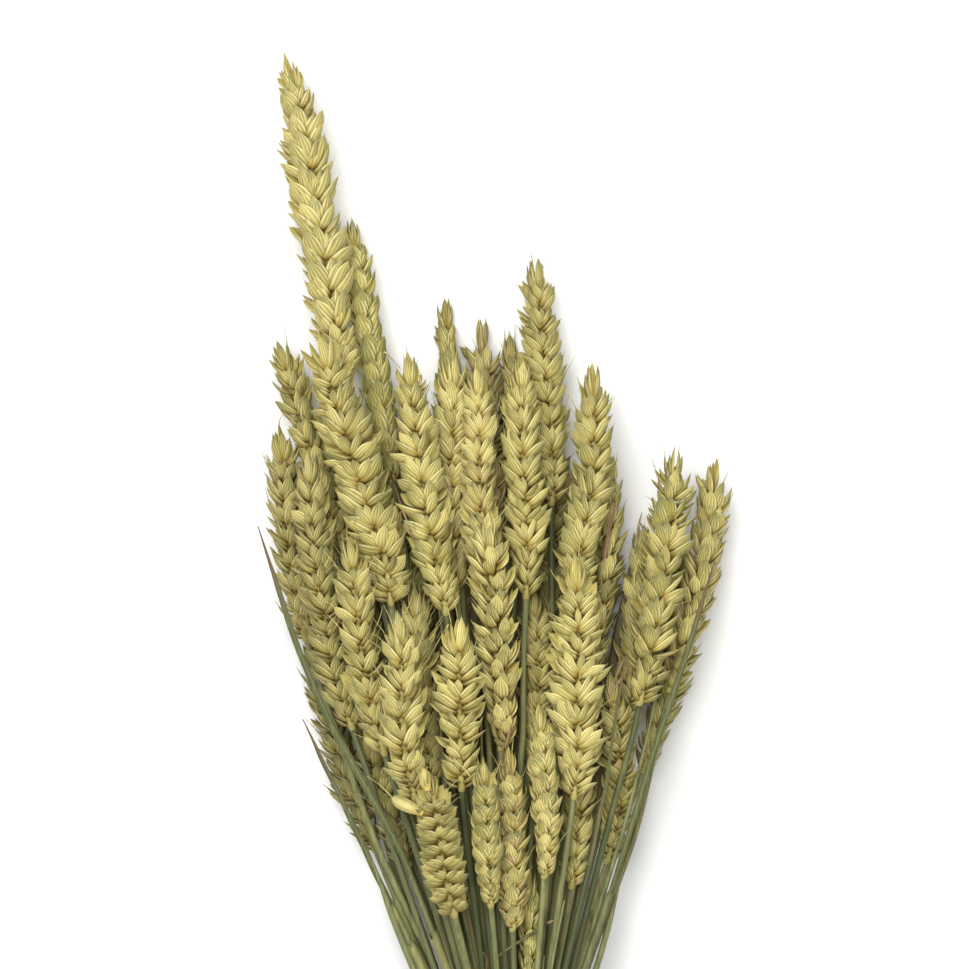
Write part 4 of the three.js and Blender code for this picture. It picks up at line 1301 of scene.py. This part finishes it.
# %% [markdown]
# Three rolled leaves run along the two sides of the straws and make the outline of the waist uneven.
# They are seen against the floor, so they aren't left to chance: their points were read off.

# %% Rolled leaves along the sides
EDGE_OWN = 0.25
EDGE_PLANE = 48.6  # the y at which the stalk beside a leaf is looked for
EDGE_LEAVES = [
    # points seen from above, from the upper end down to the tie, then half width
    ([(-46.0, 84.0), (-38.2, 62.4), (-32.6, 48.6), (-22.0, 24.0), (-12.0, 6.0)], 1.1),
    ([(-42.0, 73.0), (-35.6, 56.0), (-29.0, 40.0), (-12.0, 8.0)], 0.9),
    ([(34.0, 76.0), (30.2, 62.0), (28.2, 54.4), (25.6, 46.0), (12.0, 8.0)], 1.0),
]


def add_edge_leaves():
    """Rolled leaves along both sides of the straws."""
    for points, half in EDGE_LEAVES:
        x, y = even_steps(np.array(points), 3.0).T
        apart = [abs(middle_at(i, EDGE_PLANE)[0] - points[1][0]) for i in range(STALK_COUNT)]
        near = int(np.argmin(apart))
        path = np.stack([x, y, middle_at(near, y)[:, 2] + 0.8], axis=-1)
        t = np.linspace(0, 1, len(path))
        radius = half * np.minimum(1, 0.2 + 4 * t)
        body = tube(smooth_path(path, 3), radius, 8, squash=0.6)
        add_straw(parcels[nearest_node(near)], body, ROLLED, EDGE_OWN)


add_edge_leaves()
print(len(EDGE_LEAVES), "rolled leaves lie along the sides")

# %% [markdown]
# Dried straw keeps some of its green. It is greyer where it is bare, paler and more yellow where a
# sheath wraps it, and brown at the knots. Three materials could be used for the three kinds, but one
# that reads the kept kind lets them share their streaks and patches. Streaks run along a straw, so
# the noise is drawn out lengthwise.

# %% Straw finish
def straw_finish():
    f = Finish("dry straw")
    kind, own, place = f.kept("straw")
    streak = f.noise(900.0, 3.0, f.stretched((1.0, 0.03, 1.0)))
    patch = f.noise(45.0, 3.0)
    colour = f.mix(own, paint(140, 141, 88), paint(67, 75, 39))
    tanned = (own * 7.3).math("FRACT").between(0.80, 0.98)
    colour = f.mix(tanned * 0.5, colour, paint(142, 126, 80))
    colour = f.mix(patch.between(0.45, 0.75) * 0.6, colour, paint(146, 138, 84))
    colour = f.mix(streak.between(0.35, 0.7) * 0.6, colour, paint(70, 77, 44))
    sheath = kind.between(0.2, 0.8) * (1 - kind.between(1.2, 1.8))
    colour = f.mix(sheath * (0.3 + 0.5 * patch), colour, paint(142, 138, 84))
    knot = kind.between(1.2, 1.8) * (1 - kind.between(2.2, 2.8))
    colour = f.mix(knot * 0.8, colour, paint(112, 88, 46))
    rolled = kind.between(2.2, 2.8)
    # Rolled leaves with a high draw are dark brown; the blades laid low in the bundle take the highest
    # draws, as painted shade.
    colour = f.mix(rolled * own.between(0.3, 0.9) * 0.8, colour, paint(104, 92, 52))
    cut = 1 - place.between(-0.9, 0.2)
    colour = f.mix(cut * 0.8, colour, paint(196, 186, 140))
    rough = 0.45 + 0.25 * patch
    normal = f.bump(streak, 0.0002, 0.5)
    return f.finish({"Base Color": colour, "Roughness": rough, "Normal": normal, "IOR": 1.45})


straw_material = straw_finish()
for name, parcel in parcels.items():
    parcel.make(f"{name}_culms", straw_material, "straw", [name])

# %% [markdown]
# ## Leaves
#
# A dry wheat leaf is a long narrow blade, folded into a trough along its midrib and turned slowly
# along its length. Its edges are wavy and its tip is brown and curled. A flat strip with a Curve and
# a Simple Deform modifier could be bent like this. Worked out from the stalk of its solid, as a thin
# closed sheet, it is sure to stay where the solid is.

# %% Shape a leaf
LEAF_FOLD = 0.7
TIP_CURL = 0.6
LEAF_HALF_THICKNESS = 0.13


def blade(path, half, turned, rng):
    """A folded strip along a path, as a thin closed sheet, with its midrib."""
    fold = LEAF_FOLD
    t = np.linspace(0, 1, len(path))
    _, level, upright = path_frames(path)
    across = np.linspace(-1, 1, 9)
    width = half * np.minimum(1, 0.55 + 1.5 * t) * np.minimum(1, 0.08 + 5.5 * (1 - t))
    wave = 0.12 * np.sin(t * 23 + rng.uniform(0, 6))[:, None] * across ** 2
    depth = (1 - np.cos(fold * across)) / fold
    side = width[:, None] * (np.sin(fold * across) / fold)
    rise = width[:, None] * (depth + wave) + 0.10 * np.exp(-((across / 0.12) ** 2))
    angle = np.radians(turned[0] + turned[1] * t)[:, None]
    cos, sin = np.cos(angle), np.sin(angle)
    side, rise = side * cos - rise * sin, side * sin + rise * cos
    middle = path + upright * (TIP_CURL * np.clip(t - 0.8, 0, 1) ** 2 * 25)[:, None]
    sheet = (
        middle[:, None, :]
        + level[:, None, :] * side[..., None]
        + upright[:, None, :] * rise[..., None]
    )
    normal = as_unit(np.cross(np.gradient(sheet, axis=1), np.gradient(sheet, axis=0)))
    thick = LEAF_HALF_THICKNESS * normal
    body = sheet_body(np.concatenate([sheet + thick, (sheet - thick)[:, ::-1]], axis=1))
    there_and_back = np.concatenate([across, across[::-1]])
    return body, np.tile(there_and_back, len(path)), np.repeat(t, len(there_and_back))


# %% [markdown]
# The blades are the greenest part of the bundle, and they dry from the tip down: green-grey at the
# foot, then tan or pinkish brown, and dark at the very tip. A colour ramp along the length would do
# for one leaf. Here each blade also keeps how far it has dried, and the mix reads both.

# %% Leaf finish
def leaf_finish():
    f = Finish("dry leaf")
    across, own, t = f.kept("leaf")
    streak = f.noise(1100.0, 3.0, f.stretched((1.0, 0.04, 1.0)))
    patch = f.noise(60.0, 3.0)
    colour = f.mix(patch, paint(96, 101, 54), paint(72, 80, 40))
    colour = f.mix(streak.between(0.4, 0.7) * 0.5, colour, paint(128, 126, 82))
    colour = f.mix(own.between(0.5, 0.9), colour, paint(160, 140, 96))
    tip = (t + 0.2 * patch).between(0.80, 1.02)
    colour = f.mix(tip, colour, f.mix(own.between(0.5, 0.9), paint(112, 92, 60), paint(150, 112, 84)))
    colour = f.mix((t + 0.1 * patch).between(0.97, 1.05), colour, paint(96, 66, 48))
    vein = (across * 22.0).math("COSINE") * 0.5 + 0.5
    midrib = 1 - across.math("ABSOLUTE").between(0.05, 0.25)
    colour = f.mix(midrib * 0.5, colour, paint(150, 148, 104))
    rough = 0.5 + 0.2 * patch
    normal = f.bump(vein * 0.6 + streak, 0.00025, 0.6)
    return f.finish({"Base Color": colour, "Roughness": rough, "Normal": normal, "IOR": 1.45})


leaf_material = leaf_finish()

# %% [markdown]
# The four blades differ only in width, in how far they turn and in how dry they are, so a table and
# one loop build them all.

# %% Build the leaves
LEAF_SEED = 300
LEAF_SHAPES = {
    # half width, turn at the foot and further turn to the tip in degrees, how dry it is
    "leaf_left": (1.5, 15, 50, 0.2),
    "leaf_lower_left": (1.3, 20, 50, 0.3),
    "leaf_right": (1.1, -15, 60, 0.2),
    "leaf_split": (0.8, 30, 40, 0.6),
}

for number, (name, (half, foot_turn, more_turn, dried)) in enumerate(LEAF_SHAPES.items()):
    stalk = EAR_COUNT + number
    y = np.linspace(stalk_foot[stalk] - 8, stalk_tip[stalk], 70)
    rng = np.random.default_rng(LEAF_SEED + number)
    body, across, t = blade(middle_at(stalk, y), half, (foot_turn, more_turn), rng)
    parcel = Parcel()
    parcel.add(body, leaf=np.stack([across, 0 * t + dried, t], axis=-1))
    parcel.make(f"{name}_blade", leaf_material, "leaf", [name])
print(len(LEAF_SHAPES), "leaf blades")

# %% [markdown]
# ## The tie
#
# Three turns of plain twine hold the bundle. A taut twine takes the shortest way round the straws,
# which is the hull of all of them at the waist. A shrink-wrapped ring could find it, and so can a few
# lines of Python: every straw gives eight points of its rim, and the hull keeps the outer ones.

# %% The outline at the waist
TIE_REACH = 4.05
HULL_MARGIN = 0.45


def outline_at_waist():
    """The hull of the straws at the waist, as (x, z) points in turn."""
    reach = (STRAW_RADIUS + HULL_MARGIN) / math.cos(math.pi / 8)
    a = (np.arange(8) + 0.5) * math.pi / 4
    rims = []
    for stalk in range(STALK_COUNT):
        for y in (-TIE_REACH, 0.0, TIE_REACH):
            x, _, z = middle_at(stalk, y)
            rims += [(x + reach * math.cos(b), z + reach * math.sin(b)) for b in a]
    rims = sorted(rims)

    def chain(points):
        hull = []
        for p in points:
            while len(hull) > 1:
                o, q = hull[-2], hull[-1]
                if (q[0] - o[0]) * (p[1] - o[1]) - (q[1] - o[1]) * (p[0] - o[0]) > 0:
                    break
                hull.pop()
            hull.append(p)
        return hull[:-1]

    return np.array(chain(rims) + chain(rims[::-1]))


hull = outline_at_waist()
hull_size = np.round(np.ptp(hull, axis=0), 1)
print("the hull at the waist has", len(hull), "points and measures", hull_size, "mm")

# %% [markdown]
# Twine is two strands laid round each other. A bump on one thick tube could suggest that, but the
# strands show at its outline too. So each strand is a thin tube that winds round the line of the
# twine, and that line goes three times round the waist and ends in a flat knot on top, with two ends
# that fray into single hairs.

# %% Build the tie
TIE_SEED = 55
TWINE_RADIUS = 1.05
TWINE_TURNS = 3
TWINE_PITCH = 2.0
TWINE_STEP = 0.55
TWINE_STRANDS = 2
STRAND_OFFSET = 0.47
LAY_LENGTH = 5.2
KNOT_X = 3.0
FRAYED_HAIRS = 9


def add_twine(parcel, line, rng):
    """Lays the strands of a twine round a line."""
    line = even_steps(np.asarray(line, float), TWINE_STEP)
    _, level, upright = path_frames(line)
    place = np.arange(len(line)) * TWINE_STEP
    for strand in range(TWINE_STRANDS):
        a = 2 * math.pi * (place / LAY_LENGTH + strand / TWINE_STRANDS)
        wind = level * np.cos(a)[:, None] + upright * np.sin(a)[:, None]
        thick = 0.58 + 0.03 * np.sin(place * 1.7 + strand)
        parcel.add(tube(line + STRAND_OFFSET * wind, thick, 8), twine=[0.0, rng.random(), 0.0])


def straw_top(x, y, reach):
    middles = np.array([middle_at(i, y) for i in range(STALK_COUNT)])
    near = np.abs(middles[:, 0] - x) < reach
    return np.max(middles[near, 2]) + STRAW_RADIUS


def build_tie():
    rng = np.random.default_rng(TIE_SEED)
    parcel = Parcel()
    from_top = np.roll(hull, -np.argmax(hull[:, 1]), axis=0)
    loop = even_steps(np.concatenate([from_top, from_top[:1]]), TWINE_STEP)
    loop = loop + 0.95 * as_unit(loop - loop.mean(0))
    turns = []
    for n in range(TWINE_TURNS):
        y = (n - (TWINE_TURNS - 1) / 2 + np.linspace(-0.5, 0.5, len(loop))) * TWINE_PITCH
        turns.append(np.stack([loop[:, 0], y, loop[:, 1]], axis=-1)[:-1])
    add_twine(parcel, smooth_path(np.concatenate(turns), 3), rng)
    top = straw_top(KNOT_X, 0.0, 7.0) + 0.35 + 2.2 * TWINE_RADIUS
    for points in (
        [(-3.6, -2.4, -0.8), (-1.5, -1.4, 0.4), (1.5, 1.4, 0.4), (3.6, 2.4, -0.8)],
        [(-3.6, 2.4, -0.8), (-1.5, 1.4, 1.6), (1.5, -1.4, 1.6), (3.6, -2.4, -0.8)],
    ):
        line = smooth_path(even_steps(np.array(points) + (KNOT_X, 0, top), 0.5), 4)
        add_twine(parcel, line, rng)
    for side in (-1, 1):
        points = [(KNOT_X + side * 1.2, -1.2, top + 0.9)]
        for across, y in ((3.2, -6.0), (5.5, -13.0), (6.8, -20.0)):
            x = KNOT_X + side * across
            points.append((x, y, straw_top(x, y, 4.0) + TWINE_RADIUS + 1.2))
        line = smooth_path(even_steps(np.array(points), 0.5), 6)
        add_twine(parcel, line, rng)
        for _ in range(FRAYED_HAIRS):
            fray = np.cumsum(rng.normal(0, 0.35, (6, 3)) + (side * 0.15, -0.75, -0.1), axis=0)
            hair = line[-1] + np.concatenate([[(0, 0.6, 0)], fray])
            parcel.add(tube(hair, 0.11, 5), twine=[0.0, 0.8, 0.0])
    return parcel


# %% [markdown]
# Plain twine is pale brown and quite dull. It could be given real fibres as hairs, but at this size
# they would only show as grain, so fine noise mixes two browns and lifts the surface, and each strand
# is a little darker or lighter by its own draw.

# %% Twine finish
def twine_finish():
    f = Finish("plain twine")
    own = f.kept("twine")[1]
    fibre = f.noise(1500.0, 3.0)
    colour = f.mix(fibre, paint(150, 124, 82), paint(198, 172, 124))
    colour = f.mix(own * 0.3, colour, paint(120, 96, 60))
    normal = f.bump(fibre, 0.0003, 0.8)
    return f.finish({"Base Color": colour, "Roughness": 0.85, "Normal": normal})


tie_parcel = build_tie()
tie_parcel.make("tie_twine", twine_finish(), "twine", ["tie"])
print("twine of", len(tie_parcel.bodies), "strands and hairs")

# %% [markdown]
# ## Loose bits
#
# A dried bunch sheds. Two pale empty husks lie on the low ears, one with a long bristle, and dry
# strands, broken bristles and a thin side shoot are caught between the ears. They could be dropped
# with a rigid body simulation, but they have to lie where they are seen. So each keeps its place as
# seen from above, and a ray cast straight down finds the height of what it lies on.

# %% Find what lies under a place
RAY_START = 0.2  # metres, well above the bundle
LEAST_HEIGHT = 1.0

made_pieces = [
    piece for piece in bpy.context.scene.objects
    if "_husks_" in piece.name or "_culms" in piece.name
]
bpy.context.view_layer.update()
corners = [np.array(piece.bound_box) for piece in made_pieces]
boxes = np.array([[corner.min(axis=0), corner.max(axis=0)] for corner in corners])


def top_of(x, y):
    """Height of what has been made so far at a place seen from above."""
    start = Vector(((x + shift[0]) / 1000, (y + shift[1]) / 1000, RAY_START))
    inside = np.all((boxes[:, 0, :2] < start[:2]) & (start[:2] < boxes[:, 1, :2]), axis=1)
    best = LEAST_HEIGHT
    for k in np.flatnonzero(inside):
        hit, place = made_pieces[k].ray_cast(start, Vector((0, 0, -1)))[:2]
        if hit:
            best = max(best, 1000 * place.z)
    return best


def lie_down(points, above=0.3):
    """A smooth path over the bundle through points seen from above."""
    points = even_steps(np.array(points, float), 1.0)
    path = np.array([(x, y, top_of(x, y) + above) for x, y in points])
    for _ in range(5):
        average = np.convolve(np.pad(path[:, 2], 2, "edge"), np.ones(5) / 5, "valid")
        path[:, 2] = np.maximum(path[:, 2], average)
    return smooth_path(path, 3)


print(len(made_pieces), "pieces may carry a loose bit")

# %% [markdown]
# The loose bits are few and each is different, so they stand in short lists, one row for each, with
# their points as seen from above.

# %% Lay the loose bits
STRANDS = [
    # half width, how dry, place on a leaf's length, then points seen from above
    (0.45, 0.0, 0.5, [(-7.5, 51.5), (4.0, 59.0), (10.5, 63.0)]),
    (0.60, 1.0, 0.6, [(10.0, 62.6), (12.4, 64.0)]),
    (0.40, 1.0, 0.9, [(-10.2, 54.0), (-8.6, 51.8), (-9.2, 47.5)]),
    (0.35, 0.9, 0.9, [(32.6, 198.0), (30.5, 188.0), (28.5, 176.4)]),
    (0.30, 0.9, 0.5, [(31.2, 196.0), (29.6, 186.0), (28.8, 177.0)]),
    (0.30, 1.0, 0.5, [(41.3, 194.6), (39.5, 188.0), (38.7, 181.0)]),
    (0.35, 0.9, 0.9, [(-40.0, 208.0), (-36.0, 196.0), (-32.0, 186.0)]),
    (0.45, 0.9, 0.9, [(-1.0, 126.4), (-2.0, 123.0), (-2.9, 119.5)]),
    (0.45, 1.0, 0.55, [(36.6, 150.0), (33.0, 143.0), (30.5, 136.0)]),
    (0.40, 1.0, 0.6, [(37.4, 146.0), (33.8, 140.6), (30.5, 136.0)]),
]
LOOSE_BRISTLES = [
    [(-39.4, 103.4), (-43.5, 107.5), (-47.2, 110.0)],
    [(-21.0, 158.8), (-24.5, 153.0), (-28.2, 146.4)],
    [(-41.6, 246.0), (-39.0, 243.6), (-36.8, 241.0)],
    [(40.0, 179.2), (38.6, 175.0), (38.4, 170.0)],
    [(-13.8, 110.0), (-16.0, 113.4), (-19.5, 115.8)],
    [(-36.0, 160.0), (-33.0, 166.0), (-31.5, 172.0)],
]
LOOSE_HUSKS = [
    # foot and tip seen from above, half width
    ((-29.0, 99.4), (-39.4, 103.2), 2.1),
    ((-27.6, 106.4), (-29.0, 113.4), 1.9),
]


def loose_husk(foot, tip, half):
    foot = np.array([*foot, top_of(*foot) + 0.6])
    tip = np.array([*tip, top_of(*tip) + 1.2])
    husks = husk_rows(1)
    husks["foot"][0], husks["along"][0] = foot, tip - foot
    husks["facing"][0] = (0.0, 0.0, 1.0)
    husks["length"][0] = np.linalg.norm(tip - foot)
    husks["width"][0], husks["depth"][0], husks["arch"][0], husks["beak"][0] = half, 0.8, 0.05, 0.6
    return lay_husks(husks)[0], husk_quads, husk_triangles


def build_loose_bits():
    strands, husks = Parcel(), Parcel()
    for half, dried, place, points in STRANDS:
        path = lie_down(points)
        t = np.linspace(0, 1, len(path))
        width = half * np.minimum(1, 0.3 + 4 * t) * np.minimum(1, 0.3 + 3 * (1 - t))
        strands.add(tube(path, width, 8, squash=0.5), leaf=[0.5, dried, place])
    strands.make("loose_strands", leaf_material, "leaf")
    pale = {"ear": [1.0, 0.0, 1.0], "tint": [1.0, 0.0, 0.0], "shade": [1.08, 0.0, 0.0]}
    for points in LOOSE_BRISTLES:
        path = lie_down(points, 0.8)
        husks.add(tube(path, np.linspace(0.24, 0.10, len(path)), 5), husk=[0.0, 0.5, 0.1], **pale)
    faint = husk_values(np.array([0.05])) * [0.3, 1.0, 1.0]
    for foot, tip, half in LOOSE_HUSKS:
        husks.add(loose_husk(foot, tip, half), husk=faint, **pale)
    husks.make("loose_husks", husk_material, "husk")


build_loose_bits()
print(len(STRANDS), "strands and", len(LOOSE_BRISTLES), "bristles lie loose")
print(len(LOOSE_HUSKS), "husks lie loose")

# %% [markdown]
# ## Floor and light
#
# The bundle lies on a plain pale table. A picture of a real studio could light it, but two round
# soft lamps and a white world are enough. The strong lamp up on the left makes the soft shadows, and
# a weaker one on the right keeps the gaps between the husks open. The floor is nearly white with only
# a trace of grain, so that the outline of the bundle is easy to see. It is stage and no part of the
# bundle, and it lies a hair below it.

# %% Floor and light
FLOOR_HALF = 3
FLOOR_HEIGHT = -0.0002
LIT_PLACE = (0, 0.1, 0.03)
WORLD_STRENGTH = 0.36


def make_floor():
    mesh = bpy.data.meshes.new("floor")
    corners = [(x * FLOOR_HALF, y * FLOOR_HALF, 0) for x, y in ((-1, -1), (1, -1), (1, 1), (-1, 1))]
    mesh.from_pydata(corners, [], [(0, 1, 2, 3)])
    floor = bpy.data.objects.new("floor", mesh)
    floor.location.z = FLOOR_HEIGHT
    bpy.context.scene.collection.objects.link(floor)
    floor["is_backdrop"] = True
    f = Finish("pale floor")
    grain = f.noise(30.0, 4.0)
    colour = f.mix(grain, paint(250, 250, 248), paint(244, 244, 242))
    mesh.materials.append(f.finish({"Base Color": colour, "Roughness": 0.9}))


def make_light(name, place, size, power):
    lamp = bpy.data.lights.new(name, "AREA")
    lamp.shape = "DISK"
    lamp.size = size
    lamp.energy = power
    light = bpy.data.objects.new(name, lamp)
    light.location = place
    light.rotation_mode = "QUATERNION"
    aim = Vector(LIT_PLACE) - Vector(place)
    light.rotation_quaternion = aim.to_track_quat("-Z", "Y")
    bpy.context.scene.collection.objects.link(light)


make_floor()
make_light("window", (-0.5, 0.75, 2.35), 1.8, 64.0)
make_light("wall", (0.9, -0.5, 2.3), 2.0, 19.0)
world = bpy.data.worlds.new("room")
bpy.context.scene.world = world
world.use_nodes = True
background = world.node_tree.nodes["Background"]
background.inputs["Color"].default_value = (1.0, 1.0, 1.0, 1.0)
background.inputs["Strength"].default_value = WORLD_STRENGTH
bpy.context.scene.view_settings.view_transform = "Standard"
print("lit by two lamps and a world of strength", WORLD_STRENGTH)

# %% [markdown]
# ## Measure and finish
#
# The box of the dressed bundle is measured over every shown piece that is no stage, and printed.

# %% Measure and finish
low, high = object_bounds()
print("dressed box from", tuple(low), "to", tuple(high))
